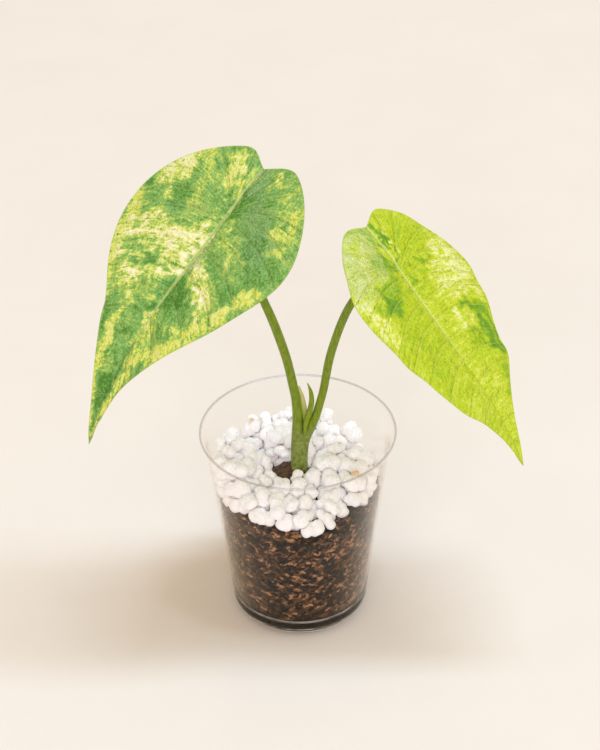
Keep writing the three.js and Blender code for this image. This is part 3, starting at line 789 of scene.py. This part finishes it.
def lime_marbled_leaf():
    paint = Paint("lime_marbled_leaf")
    leaf = Marbling(paint)
    # The painted sheen, where the bumpy gloss catches the light, lifts the paleness a little and tints the
    # grain paler below.
    gains = {"cream": 0.42, "painted_sheen": 0.16, "green": -0.5, "lime": -0.14}
    level = leaf.level(0.47, gains, even=0.55, lively=1.4) + leaf.net * 0.12
    painted_sheen = paint.fade(leaf.grain, 0.44, 0.62, tone(150, 186, 84), tone(222, 234, 170))
    colour = paint.mix(leaf.painted_sheen_share(streak=1.0, fleck=1.2, soft=0.3) * 0.55,
                       paint.ramp(level, LIME_STOPS), painted_sheen)
    return leaf.coat(colour, veins=(0.22, tone(206, 222, 96)), midrib=(0.7, tone(214, 230, 120)),
                     margin=(0.4, tone(180, 204, 50)), underside=(0.4, tone(200, 214, 120)))


def floor_paper():
    paint = Paint("floor_paper")
    place = paint.place()
    colour = paint.fade(paint.noise(place, 60, 2), 0.3, 0.7, tone(246, 239, 230), tone(248, 241, 232))
    return paint.done(paint.skin({
        "Base Color": colour, "Roughness": 0.9, "Specular IOR Level": 0.1,
        "Normal": paint.bump(paint.noise(place, 0.9, 3), 0.05)}))


# Cup
def outer_radius(z):
    return WALL_BASE_RADIUS + (WALL_TOP_RADIUS - WALL_BASE_RADIUS) / CUP_HEIGHT * z


def inner_radius(z):
    return outer_radius(z) - CUP_WALL


def ring(radius, z, width, depth):
    """A closed profile for a bead that runs round the cup."""
    turn = np.arange(BEAD_SIDES + 1) * 2 * math.pi / BEAD_SIDES
    return np.stack([radius + width / 2 * np.cos(turn), z + depth / 2 * np.sin(turn)], axis=1)


def wall_profile():
    """Up the outside, round the flare under the lip and down the inside."""
    climb = np.linspace(WALL_START, WALL_END, 40)
    profile = [*[(outer_radius(z), z) for z in climb], *LIP_FLARE,
               *[(radius - FLARE_WALL[0], z + FLARE_WALL[1]) for radius, z in LIP_FLARE[::-1]],
               *[(inner_radius(z), z) for z in climb[::-1]]]
    return [*profile, profile[0]]


def foot_profile():
    """From the axis, round the foot's corner to the wall, and back over the cup's floor."""
    rounding = outer_radius(FOOT_ROUNDING) - FOOT_RADIUS
    corner = [(FOOT_RADIUS + rounding * math.sin(angle),
               FOOT_LIFT + (FOOT_ROUNDING - FOOT_LIFT) * (1 - math.cos(angle)))
              for angle in np.linspace(0, math.pi / 2, 14)]
    return [(0.0, FOOT_LIFT), *corner,
            (outer_radius(WALL_START), WALL_START), (inner_radius(WALL_START), WALL_START),
            *[(FOOT_RADIUS + out, CUP_FLOOR + rise) for out, rise in FLOOR_CORNER[::-1]],
            (0.0, CUP_FLOOR)]


def cup():
    """Thin wall, bead round the lip, thick foot and pale rings of painted glint at the foot, each a closed
    body.
    """
    wall_film = clear_film("clear_wall", tint=tone(255, 255, 255), shine=tone(255, 250, 244),
                           head_on=0.003, turned=0.85, rough=0.15)
    # The lip's grey tint is painted shade, standing in for the dark surroundings that the clear rolled lip
    # shows.
    lip_film = clear_film("clear_lip", tint=tone(240, 239, 239), shine=tone(236, 240, 250),
                          head_on=0.14, turned=0.6, rough=0.26)
    lip = ring(LIP_RADIUS - LIP_WIDTH / 2, CUP_HEIGHT - LIP_DEPTH / 2, LIP_WIDTH, LIP_DEPTH)
    glint_rings = [ring(FOOT_RADIUS + out, height, bead, bead) for out, height, bead in FOOT_GLINT_RINGS]
    for name, profiles, material in (
            ("cup_wall", [wall_profile()], wall_film), ("cup_lip", [lip], lip_film),
            ("cup_foot", [foot_profile()], clear_foot()), ("cup_glint_rings", glint_rings, painted_glint_ring())):
        parts = [(*lathe(profile, CUP_SIDES), {}) for profile in profiles]
        make_piece(name, parts, material, "clear_plastic", "cup", sharp=50)


# Bark mix
def soil_level(x, y):
    """Height of the bark mix: lower where the grains press into it at the front."""
    dip = SOIL_DIP * smooth_step(-9, 2, x) * smooth_step(29, 24, x) * smooth_step(-5, -22, y)
    return SOIL_LEVEL - 0.02 * x + 0.6 * np.sin(x / 5.5 + 1) * np.cos(y / 7) - dip


def flake(rng, length, width, thickness):
    """A small curled shaving as points (along, across, deep) and faces."""
    stations, sides = 5, 5
    t = np.linspace(-1, 1, stations)
    girth = np.sqrt(np.maximum(0.15, 1 - np.abs(t) ** 2.4)) * rng.uniform(0.7, 1.15, stations)
    angle = np.arange(sides) * 2 * math.pi / sides + rng.uniform(0, 6)
    sideways, curl = rng.normal(0, 0.5), rng.normal(0, 0.9)
    bend = np.repeat(t * sideways, sides)
    along = np.repeat(t * length / 2, sides)
    across = (girth[:, None] * np.cos(angle) * width / 2).ravel()
    deep = (girth[:, None] * np.sin(angle) * thickness / 2).ravel()
    along, across = along - across * np.sin(bend), across * np.cos(bend) + along * bend * 0.5
    deep = deep + np.repeat(t**2, sides) * curl * length * 0.12 + across * np.repeat(t, sides) * 0.3
    first = [[0, k, k + 1, k + 1] for k in range(1, sides - 1)]
    last = (stations - 1) * sides
    final = [[last, last + k + 1, last + k, last + k] for k in range(1, sides - 1)]
    faces = np.vstack([grid_faces(stations, sides, closed=True), first, final])
    return np.stack([along, across, deep], axis=1), faces


def chip(rng):
    """A chip of the mix: most are dark bark, and the light ones are small slivers of coir."""
    shade = rng.uniform()
    spans = COIR_SIZES if shade > COIR_SHADE else BARK_SIZES
    return *flake(rng, *[rng.uniform(*span) for span in spans]), shade


def turned(points, angle):
    """The first two coordinates of points, turned about the third."""
    x, y = points[:, 0], points[:, 1]
    return x * math.cos(angle) - y * math.sin(angle), x * math.sin(angle) + y * math.cos(angle)


def chip_at_wall(rng):
    """A chip that lies along the inside of the wall. Coir lies nearer to it than bark does."""
    points, faces, shade = chip(rng)
    lean = rng.normal(0.25, 0.7)
    around, rise = turned(points, lean)
    angle = rng.uniform(0, 2 * math.pi)
    level = float(soil_level(SOIL_RADIUS * math.cos(angle), SOIL_RADIUS * math.sin(angle)))
    lowest = CUP_FLOOR + 0.8 + np.ptp(rise) / 2
    z = np.clip(rng.uniform(lowest, level) + rise, CUP_FLOOR + 0.7, level + CHIP_RISE)
    buried = rng.uniform(*(COIR_DEPTHS if shade > COIR_SHADE else BARK_DEPTHS))
    depth = WALL_GAP + points[:, 2] - points[:, 2].min() + buried
    corner = np.maximum(0, CUP_FLOOR + CORNER_RISE - z) ** 2 * 0.3
    radius = inner_radius(z) - depth - corner
    spin = angle + around / radius
    return np.stack([radius * np.cos(spin), radius * np.sin(spin), z], axis=1), faces, {"tone": shade}


def loose_chip(rng, on_top):
    """A chip that lies on top of the mix, or else on the cup's floor."""
    points, faces, shade = chip(rng)
    reach = (TOP_REACH if on_top else FLOOR_REACH) * math.sqrt(rng.uniform())
    angle, turn = rng.uniform(0, 2 * math.pi, 2)
    x, y = reach * math.cos(angle), reach * math.sin(angle)
    base = float(soil_level(x, y)) - 0.3 if on_top else CUP_FLOOR + 0.9
    tilt = rng.normal(0, 0.3) if on_top else 0.0
    across, along = turned(points, turn)
    laid = np.stack([x + across, y + along, base + points[:, 2] + points[:, 0] * tilt], axis=1)
    limit = inner_radius(laid[:, 2]) - (0.5 if on_top else 2.4)
    laid[:, :2] *= np.minimum(1, limit / np.hypot(laid[:, 0], laid[:, 1]))[:, None]
    laid[:, 2] = np.maximum(laid[:, 2], CUP_FLOOR + 0.3)
    return laid, faces, {"tone": shade}


def soil_heart():
    """The dark middle of the bark mix, behind the chips."""
    base, crown = CUP_FLOOR - 0.25, SOIL_LEVEL - 1.2
    side = [(inner_radius(z) - 0.3 - 0.6 * smooth_step(CUP_FLOOR, CUP_FLOOR + 5, z), z)
            for z in np.linspace(CUP_FLOOR + 0.7, SOIL_LEVEL - 1.4, 40)]
    top = [(radius, crown) for radius in np.linspace(31, 1, 14)]

    def shape(radius, height, turn):
        x, y = radius * np.cos(turn), radius * np.sin(turn)
        lift = smooth_step(SOIL_LEVEL - 12, crown, height)
        lumps = 0.4 * ripple(np.stack([x, y], axis=-1), 3, SEED)
        height = height + lift * (soil_level(x, y) - SOIL_LEVEL + lumps)
        dents = 0.3 * (1 + ripple(np.stack([x, y, height], axis=-1), 2.2, SEED + 3))
        dents = dents * smooth_step(CUP_FLOOR - 0.2, CUP_FLOOR + 3, height) * smooth_step(0, 3, radius)
        return radius - dents, height

    return lathe([(0, base), (FOOT_RADIUS + 1.9, base), *side, *top, (0, crown)], 128, shape)


def soil():
    """The chips that show through the wall, and those inside with the heart behind them."""
    rng = np.random.default_rng(SEED + 1)
    at_wall = [chip_at_wall(rng) for _ in range(CHIPS_AT_WALL)]
    loose = [*[loose_chip(rng, on_top=True) for _ in range(CHIPS_ON_TOP)],
             *[loose_chip(rng, on_top=False) for _ in range(CHIPS_ON_FLOOR)],
             (*soil_heart(), {"tone": HEART_SHADE})]
    material = bark_mix()
    make_piece("bark_at_wall", at_wall, material, "bark_mix", "soil", sharp=35)
    make_piece("bark_inside", loose, material, "bark_mix", "soil", sharp=35)


# Perlite
def packed_grains():
    """Both ends and the radius of long grains that lie against each other, the wall and the mix."""
    rng = np.random.default_rng(SEED + 5)
    radius = rng.uniform(*GRAIN_RADII, GRAIN_COUNT)
    length = radius * rng.uniform(*GRAIN_STRETCH, GRAIN_COUNT)
    reach = HEAP_REACH * np.sqrt(rng.uniform(size=GRAIN_COUNT))
    angle = rng.uniform(0, 2 * math.pi, GRAIN_COUNT)
    middle = np.stack([reach * np.cos(angle), reach * np.sin(angle),
                       SOIL_LEVEL + rng.uniform(*HEAP_HEIGHTS, GRAIN_COUNT)], axis=1)
    half = unit(rng.normal(size=(GRAIN_COUNT, 3)) * (1, 1, 0.6)) * length[:, None] / 2
    spot = np.concatenate([middle - half, middle + half])
    girth = np.tile(radius, 2)
    own = np.tile(np.arange(GRAIN_COUNT), 2)
    never_near = np.where(own[:, None] == own, 99.0, 0.0)
    for turn in range(PACKING_TURNS):
        apart = spot[:, None] - spot[None]
        distance = np.linalg.norm(apart, axis=-1) + never_near
        overlap = np.maximum(0, GRAIN_SPACING * (girth[:, None] + girth) - distance)
        spot += GRAIN_PUSH * (apart * (overlap / np.maximum(distance, TINY))[..., None]).sum(axis=1)
        spot += (*GRAIN_DRIFT, GRAIN_FALL if turn < FALLING_TURNS else GRAIN_SETTLE)
        for x, y, room in STALK_ROOM:
            away = spot[:, :2] - (x, y)
            gap = np.linalg.norm(away, axis=1)
            short = np.maximum(0, room + STALK_TOUCH * girth - gap)
            spot[:, :2] += away / np.maximum(gap, TINY)[:, None] * short[:, None]
        level = soil_level(spot[:, 0], spot[:, 1])
        spot[:, 2] = np.maximum(spot[:, 2], level + SOIL_TOUCH * girth)
        limit = inner_radius(spot[:, 2] - girth / 2) - 0.1 - girth
        out = np.linalg.norm(spot[:, :2], axis=1)
        spot[:, :2] *= np.minimum(1, limit / np.maximum(out, TINY))[:, None]
        span = spot[GRAIN_COUNT:] - spot[:GRAIN_COUNT]
        spare = (1 - length / np.maximum(np.linalg.norm(span, axis=1), TINY))[:, None] * span / 2
        spot += np.concatenate([spare, -spare])
    kept = np.delete(np.arange(GRAIN_COUNT), GRAINS_LEFT_OUT)
    return spot[:GRAIN_COUNT][kept], spot[GRAIN_COUNT:][kept], radius[kept]


def grain_shape(rng, directions, span, radius):
    """A lumpy grain as long as its span: round lobes on a core, with clefts between them."""
    count = rng.integers(6, 10)
    turn = np.arange(count) * LOBE_TURN + rng.uniform(0, 6)
    rise = np.linspace(-0.9, 0.9, count) + rng.normal(0, 0.15, count)
    around = np.sqrt(np.clip(1 - rise**2, 0.05, 1))
    out = np.stack([around * np.cos(turn), around * np.sin(turn), rise], axis=1) @ random_turn(rng)
    lobes = out * radius * rng.uniform(*LOBE_REACH, (count, 1))
    length = np.linalg.norm(span)
    lobes = lobes + span * np.clip(out @ span / max(length, TINY), -0.5, 0.5)[:, None]
    sizes = radius * rng.uniform(*LOBE_SIZES, count)
    toward = directions @ lobes.T
    inside = sizes**2 - (lobes**2).sum(axis=1) + toward**2
    reach = np.where(inside > 0, toward + np.sqrt(np.maximum(inside, 0)), 0)
    lengthwise = (directions @ span / max(length, TINY)) ** 2
    core = 1 / np.sqrt(lengthwise / (length / 2 + 0.6 * radius) ** 2
                       + (1 - lengthwise) / (0.7 * radius) ** 2)
    surface = ((np.maximum(reach, 0) ** 16).sum(axis=1) + core**16) ** (1 / 16)
    for depth, size, waves in GRAIN_RIPPLES:
        surface = surface + radius * depth * ripple(directions, size, rng.integers(1 << 30), waves)
    return directions * surface[:, None]


def perlite():
    """The layer in two pieces, the upper and the lower half of the grains, and the tan specks."""
    rng = np.random.default_rng(SEED + 9)
    starts, ends, radii = packed_grains()
    spots = (starts + ends) / 2
    directions, triangles = ball(4)
    balls, girths = np.vstack([starts, spots, ends]), np.tile(radii, 3)
    owners = np.tile(np.arange(len(radii)), 3)
    grains = {"perlite_top": [], "perlite_wall": []}
    for place, number in enumerate(np.argsort(-spots[:, 2])):
        points = grain_shape(rng, directions, ends[number] - starts[number], radii[number]) + spots[number]
        limit = inner_radius(points[:, 2]) - GRAIN_GAP
        points[:, :2] *= np.minimum(1, limit / np.hypot(points[:, 0], points[:, 1]))[:, None]
        near = (owners != number) & (np.linalg.norm(balls - spots[number], axis=1) < NEIGHBOURS)
        # gap: how near each point comes to the other grains, which the material turns into painted shade.
        gap = (np.linalg.norm(points[:, None] - balls[near], axis=2) - 0.95 * girths[near]).min(axis=1)
        name = "perlite_top" if place < len(spots) / 2 else "perlite_wall"
        grains[name].append((points, triangles, {"tone": rng.uniform(0, 0.95), "gap": gap}))
    heap = np.vstack([points for points, _, _ in grains["perlite_top"]])
    for x, y, radius in TAN_SPECKS:
        top = heap[np.hypot(heap[:, 0] - x, heap[:, 1] - y) < 1.0, 2].max()
        speck = grain_shape(rng, directions, np.array([0.3, 0.1, 0.0]), radius) + (x, y, top + 0.4)
        grains["perlite_top"].append((speck, triangles, {"tone": 1.0, "gap": 3.0}))
    material = perlite_grain()
    for name, parts in grains.items():
        make_piece(name, parts, material, "perlite_grain", "perlite", sharp=80)


# Corm
def corm():
    """The rough corm and the roots that run out and down from its underside."""
    directions, triangles = ball(5)
    belly = CORM_BOTTOM + 0.62 * (CORM_TOP - CORM_BOTTOM)
    height = np.where(directions[:, 2] > 0, CORM_TOP - belly, belly - CORM_BOTTOM)
    points = directions * np.stack([np.full(len(height), CORM_RADIUS)] * 2 + [height], axis=1)
    rough = 0.05 * ripple(directions, 0.3, SEED + 21) + 0.03 * ripple(directions, 0.12, SEED + 22)
    points = points * (1 + rough)[:, None] + (*CORM_CENTRE, belly)
    parts = [(points, triangles, {})]
    start = np.array([*CORM_CENTRE, CORM_BOTTOM + 3])
    for k in range(ROOT_COUNT):
        angle = 2 * math.pi * k / ROOT_COUNT + 0.4
        reach = ROOT_REACH * (0.75 if k % 2 else 1)
        end = np.array([reach * math.cos(angle), reach * math.sin(angle), start[2]])
        knots = [(*(start + (end - start) * share - (0, 0, ROOT_DROP * drop)), radius)
                 for share, drop, radius in ROOT_COURSE]
        stem, faces, _ = sweep(knots, 30, 10)
        parts.append((stem, faces, {}))
    make_piece("corm_and_roots", parts, corm_skin(), "corm_skin", "corm", sharp=80)


# Blades
class Blade:
    """The curved surface of one blade, from flat places (s, w)."""

    def __init__(self, form):
        self.form = form
        heading = math.radians(form["heading"])
        self.ahead = np.array([math.cos(heading), math.sin(heading), 0])
        self.side = np.cross(UP, self.ahead)
        self.line = np.linspace(*MIDRIB_SPAN, 2001)
        droop = self.droop(self.line)
        start = np.searchsorted(self.line, 0)
        run, fall = (np.concatenate([[0], np.cumsum((f[1:] + f[:-1]) / 2 * np.diff(self.line))])
                     for f in (np.cos(droop), np.sin(droop)))
        self.run, self.fall = run - run[start], fall - fall[start]

    def droop(self, s):
        form = self.form
        bend = np.where(s > 0, form["rate"] * s + form["growth"] * s * s, form["lobe_rate"] * s)
        return np.radians(form["droop"] + bend)

    def at(self, s, w):
        form = self.form
        droop = self.droop(s)[..., None]
        lift = np.sin(droop) * self.ahead + np.cos(droop) * UP
        roll = math.radians(form["roll"])
        across = math.cos(roll) * self.side + math.sin(roll) * lift
        up = math.cos(roll) * lift - math.sin(roll) * self.side
        fold = math.radians(form["fold"])
        slope = fold - form["curvature"] * np.abs(w)
        out = (math.sin(fold) - np.sin(slope)) / form["curvature"]
        rise = (np.cos(slope) - math.cos(fold)) / form["curvature"]
        run = np.interp(s, self.line, self.run)[..., None]
        fall = np.interp(s, self.line, self.fall)[..., None]
        sway = form["sway"] * np.maximum(0, (s - SWAY_START) / (form["length"] - SWAY_START)) ** 2
        return (np.array(form["attach"]) + run * self.ahead - fall * UP
                + across * (np.sign(w) * out + sway)[..., None] + up * rise[..., None])

    def normal(self, s, w):
        along = self.at(s + 0.5, w) - self.at(s - 0.5, w)
        sideways = self.at(s, w + 0.5) - self.at(s, w - 0.5)
        return unit(np.cross(along, sideways))

    def midway(self, s):
        """The normal over the midrib, midway between those of the two halves."""
        return unit(self.normal(s, np.full_like(s, 0.6)) + self.normal(s, np.full_like(s, -0.6)))

    def flat(self, side, m, v):
        """Place (s, w) on the vein line at share m of the margin, at share v of the way out."""
        margin = through(self.form["margins"][side], m)
        on_midrib = np.clip((m - FAN_SHARE) / (1 - FAN_SHARE), 0, 1)
        start = self.form["length"] * on_midrib**VEIN_SPREAD
        bow = VEIN_BOW * np.abs(margin[..., 1]) * np.minimum(1, m / FAN_SHARE)
        s = start + (margin[..., 0] - start) * v - bow * np.sin(math.pi * v)
        return s, margin[..., 1] * v

    def veins(self, side, m, v):
        """For each place: the number of the main vein before it, the share of the way to the next
        one, and the distance between the two."""
        veins = np.array(MAIN_VEINS)
        number = np.clip(np.searchsorted(veins, m, side="right") - 1, 0, len(veins) - 2)
        low, high = veins[number], veins[number + 1]
        apart = np.subtract(self.flat(side, high, v), self.flat(side, low, v))
        return number, (m - low) / (high - low), np.hypot(*apart)

    def wave(self, side, m, v):
        fade = np.minimum(1, np.minimum(6 * m, 6 * (1 - m)))
        turns = 2 * math.pi * self.form["waves"] * m + side
        return WAVE_HEIGHT * fade * v**3 * (np.sin(turns) + 0.5 * np.sin(1.7 * turns))


def strokes(s, w, marks):
    """How much a marking covers each flat place. It is a half at a stroke's half width."""
    total = np.zeros_like(s)
    for s0, w0, s1, w1, width, strength in marks:
        length = (s1 - s0) ** 2 + (w1 - w0) ** 2
        t = np.clip(((s - s0) * (s1 - s0) + (w - w0) * (w1 - w0)) / length, 0, 1)
        away = np.hypot(s - s0 - t * (s1 - s0), w - w0 - t * (w1 - w0))
        total = np.maximum(total, strength * (1 - smooth_step(0, 2 * width, away)))
    return total


class HalfGrid:
    """A grid of places over one half of a blade, and how far each lies from what is near it."""

    def __init__(self, blade, side):
        self.blade = blade
        self.side = side
        self.m, self.v = np.meshgrid(np.linspace(0, 1, BLADE_ROWS),
                                     np.linspace(0, 1, BLADE_COLUMNS) ** 1.15, indexing="ij")
        self.s, self.w = blade.flat(side, self.m, self.v)
        self.flat = np.stack([self.s, self.w], axis=-1)
        self.number, self.between, self.gap = blade.veins(side, self.m, self.v)
        self.middle = np.abs(self.w)
        self.reach = np.hypot(self.s - blade.flat(side, self.m, 0 * self.v)[0], self.w)
        self.rim = np.hypot(*np.subtract(blade.flat(side, self.m, 0 * self.v + 1), (self.s, self.w)))

    def sides(self, seed):
        """Points of the upper side, quilted between sunk veins, and of the ribbed under side."""
        form, s, middle = self.blade.form, self.s, self.middle
        body = smooth_step(0, 5, self.reach) * smooth_step(0, 6, self.rim)
        bulge = (4 * self.between * (1 - self.between)) ** 0.8 * smooth_step(0, 9, self.gap)
        relief = body * (QUILT_HEIGHT * bulge + 0.3 * ripple(self.flat, 7, seed)
                         + 0.1 * ripple(self.flat, 2.4, seed + 1))
        groove = GROOVE_DEPTH * np.exp(-(middle / 0.9) ** 2) * smooth_step(97, 30, s)
        crease = smooth_step(3, 0, middle)
        normal = self.blade.normal(s, np.where(middle < TINY, TINY * self.side, self.w))
        normal = unit(normal + (self.blade.midway(s) - normal) * crease[..., None])
        height = self.blade.wave(self.side, self.m, self.v) + relief - groove
        top = self.blade.at(s, self.w) + normal * height[..., None]
        ends = np.minimum(form["length"] - s, s - form["margins"][self.side][0][0])
        slim = BLADE_THICKNESS * (1 - 0.6 * smooth_step(3, 0, self.rim + (ends - self.rim) * crease))
        rib = (RIB_DEPTH * np.exp(-(middle / 1.1) ** 2) * smooth_step(-4, 2, s)
               * np.sqrt(np.clip(1 - s / form["length"], 0, 1)))
        off_vein = np.minimum(self.between, 1 - self.between) * self.gap
        side_rib = SIDE_RIB_DEPTH * np.exp(-(off_vein / 0.5) ** 2) * body
        return top, top - normal * (slim + rib + side_rib + groove * 0.6)[..., None]

    def fields(self, marks, seed):
        """What the leaf's material reads at each point. Near the rim the strokes are bent less."""
        free = 0.3 + 0.7 * smooth_step(0, 9, self.rim)
        bent = [place + free * (1.7 * ripple(self.flat, 4.5, seed + k)
                                + 0.9 * ripple(self.flat, 1.7, seed + k + 2))
                for place, k in ((self.s, 11), (self.w, 12))]
        side = np.full_like(self.s, self.side)
        return {
            "flat": np.stack([self.s, self.w, HALF_SHIFT * side], axis=-1),
            "course": np.stack([self.reach, self.m * COURSE_LENGTH, COURSE_SHIFT * side], axis=-1),
            "phase": self.number + self.between, "gap": self.gap, "edge": self.rim,
            "middle": self.middle + 0.9 * smooth_step(20, self.blade.form["pale_to"], self.s),
            **{name: strokes(*bent, drawn) for name, drawn in marks.items()},
        }


def blade_half(blade, side, marks, seed):
    """One half from the midrib to the rim: its upper side, then its under side."""
    half = HalfGrid(blade, side)
    count = BLADE_ROWS * BLADE_COLUMNS
    points = np.vstack([face.reshape(-1, 3) for face in half.sides(seed)])
    faces = sheet_faces(BLADE_ROWS, BLADE_COLUMNS, np.arange(1, BLADE_ROWS + 1) * BLADE_COLUMNS - 1)
    fields = {name: np.concatenate([value.reshape(count, *value.shape[2:])] * 2)
              for name, value in half.fields(marks, seed).items()}
    fields["under"] = np.repeat([0.0, 1.0], count)
    return points, faces[:, ::-1] if side > 0 else faces, fields


def join_halves(first, second):
    """One closed part from two half blades."""
    points = np.vstack([first[0], second[0]])
    faces = np.vstack([first[1], second[1] + len(first[0])])
    fields = {name: np.concatenate([first[2][name], second[2][name]]) for name in first[2]}
    return points, faces, fields


def blade(name, node, form, marks, material, slot, seed):
    """Both halves of a blade as one closed piece."""
    shape = Blade(form)
    halves = join_halves(blade_half(shape, 1, marks, seed), blade_half(shape, -1, marks, seed))
    make_piece(name, [halves], material, slot, node, sharp=70)


# Stems
def petiole_knots(knots, form):
    """The petiole's knots, carried on into the underside of its blade."""
    up = Blade(form).midway(np.zeros(1))[0]
    attach = np.array(form["attach"], float)
    radius = knots[-1][3]
    seat = BLADE_THICKNESS + 0.5
    return [*knots, (*(attach - up * (seat + 4.5)), radius), (*(attach - up * seat), radius * 1.15)]


def stem_part(knots, rings, sides, groove):
    """A stem with a groove of that depth down its front, as a share of the radius."""
    def shape(share, angle):
        from_groove = (angle - GROOVE_FACING + math.pi) % (2 * math.pi) - math.pi
        return 1 - groove * np.exp(-(from_groove / 0.5) ** 2) + 0.015 * np.sin(3 * angle + 9 * share)
    points, faces, _ = sweep(knots, rings, sides, shape)
    return points, faces, {"height": points[:, 2]}


def wing():
    """The dry papery edge of the left petiole's sheath."""
    rows, columns = 60, 9
    t = np.linspace(0, 1, rows)
    v = np.linspace(0, 1, columns)
    edge = through(WING_EDGE, t)
    axis = through(PETIOLE_LEFT, np.linspace(0, 1, 400))
    middle = [np.interp(edge[:, 1], axis[:, 2], axis[:, k]) for k in (0, 1)]
    inner = np.stack([middle[0] + 0.4, middle[1] - 0.9, edge[:, 1]], axis=1)[:, None]
    outer = np.stack([edge[:, 0], np.full(rows, WING_PLANE), edge[:, 1]], axis=1)[:, None]
    sheet = inner + (outer - inner) * v[:, None]
    sheet[..., 1] -= WING_BOW * np.sin(math.pi * v) * np.sin(math.pi * t)[:, None]
    thick = np.zeros_like(sheet)
    thick[..., 1] = WING_THICKNESS / 2 * (1 - 0.6 * v)
    points = np.vstack([(sheet - thick).reshape(-1, 3), (sheet + thick).reshape(-1, 3)])
    border = np.concatenate([np.arange(columns), np.arange(2, rows + 1) * columns - 1,
                             rows * columns - np.arange(2, columns + 1),
                             np.arange(rows - 2, -1, -1) * columns])
    return points, sheet_faces(rows, columns, border), {"out": np.tile(v, 2 * rows)}


def sheath():
    """The sheath that wraps both petioles below their fork, as one smooth column."""
    def shape(share, angle):
        return np.hypot(np.cos(angle), 0.8 * np.sin(angle)) + 0.02 * np.sin(5 * angle + 8 * share)
    points, faces, _ = sweep(SHEATH, 60, 40, shape)
    return points, faces, {"height": points[:, 2]}


def stems():
    green = petiole_skin()
    left = stem_part(petiole_knots(PETIOLE_LEFT, BLADE_LEFT), 160, 28, groove=0.05)
    right = stem_part(petiole_knots(PETIOLE_RIGHT, BLADE_RIGHT), 160, 28, groove=0.05)
    young = stem_part(NEW_LEAF, 70, 20, groove=0.25)
    make_piece("stalk_left", [left, sheath()], green, "petiole_skin", "petiole_left", sharp=60)
    make_piece("sheath_wing", [wing()], sheath_skin(), "petiole_skin", "petiole_left", sharp=60)
    make_piece("stalk_right", [right], green, "petiole_skin", "petiole_right", sharp=60)
    make_piece("rolled_leaf", [young], young_leaf(), "young_leaf", "new_leaf", sharp=60)


# Floor, light and camera
def stage():
    """A plain floor, warm light all round and two softboxes."""
    half = FLOOR_SIZE / 2
    mesh = bpy.data.meshes.new("floor")
    corners = [(-half, -half, 0), (half, -half, 0), (half, half, 0), (-half, half, 0)]
    mesh.from_pydata(corners, [], [(0, 1, 2, 3)])
    mesh.materials.append(floor_paper())
    floor = bpy.data.objects.new("floor", mesh)
    bpy.context.scene.collection.objects.link(floor)

    world = bpy.data.worlds.new("studio")
    world.use_nodes = True
    back = world.node_tree.nodes["Background"]
    back.inputs["Color"].default_value = ROOM_COLOUR
    back.inputs["Strength"].default_value = ROOM_STRENGTH
    bpy.context.scene.world = world

    softbox("key", toward=(0.26, -0.09, 1.0), distance=4.0, size=(2.8, 0.5), power=91,
            colour=(0.62, 0.785, 1.0))
    softbox("fill", toward=(-0.1, -1.0, 0.55), distance=6.0, size=(5.0, 2.4), power=122,
            colour=(0.86, 0.82, 1.0))
    view = bpy.context.scene.view_settings
    view.view_transform = "Standard"
    view.look = "None"


def softbox(name, toward, distance, size, power, colour):
    """A rectangular lamp in metres and watts that faces the cup's foot from that direction."""
    lamp = bpy.data.lights.new(name, "AREA")
    lamp.shape = "RECTANGLE"
    lamp.size, lamp.size_y = size
    lamp.energy = power
    lamp.color = colour
    light = bpy.data.objects.new(name, lamp)
    direction = Vector(toward).normalized()
    across = (Vector((1, 0, 0)) - direction * direction.x).normalized()
    turn = Matrix((across, direction.cross(across), direction)).transposed()
    light.matrix_world = Matrix.Translation(direction * distance) @ turn.to_4x4()
    bpy.context.scene.collection.objects.link(light)


def camera():
    """The camera of the photo, which looks down at the middle of the plant."""
    elevation, roll = math.radians(CAMERA_ELEVATION), math.radians(CAMERA_ROLL)
    back = Vector((0, -math.cos(elevation), math.sin(elevation)))
    right = Vector((1, 0, 0))
    up = Vector((0, math.sin(elevation), math.cos(elevation)))
    across = right * math.cos(roll) - up * math.sin(roll)
    above = up * math.cos(roll) + right * math.sin(roll)
    lens = bpy.data.cameras.new("camera")
    lens.sensor_fit = "VERTICAL"
    lens.sensor_height = SENSOR_HEIGHT
    lens.lens = FOCAL_PIXELS / PHOTO_HEIGHT * SENSOR_HEIGHT
    eye = bpy.data.objects.new("camera", lens)
    turn = Matrix((across, above, back)).transposed()
    place = Vector(CAMERA_AIM) * MM + back * CAMERA_DISTANCE
    eye.matrix_world = Matrix.Translation(place) @ turn.to_4x4()
    bpy.context.scene.collection.objects.link(eye)
    bpy.context.scene.camera = eye


stage()
camera()
cup()
soil()
perlite()
corm()
stems()
blade("leaf_left", "blade_left", BLADE_LEFT, MARKS_LEFT, green_marbled_leaf(),
      "green_marbled_leaf", SEED + 31)
blade("leaf_right", "blade_right", BLADE_RIGHT, MARKS_RIGHT, lime_marbled_leaf(),
      "lime_marbled_leaf", SEED + 41)
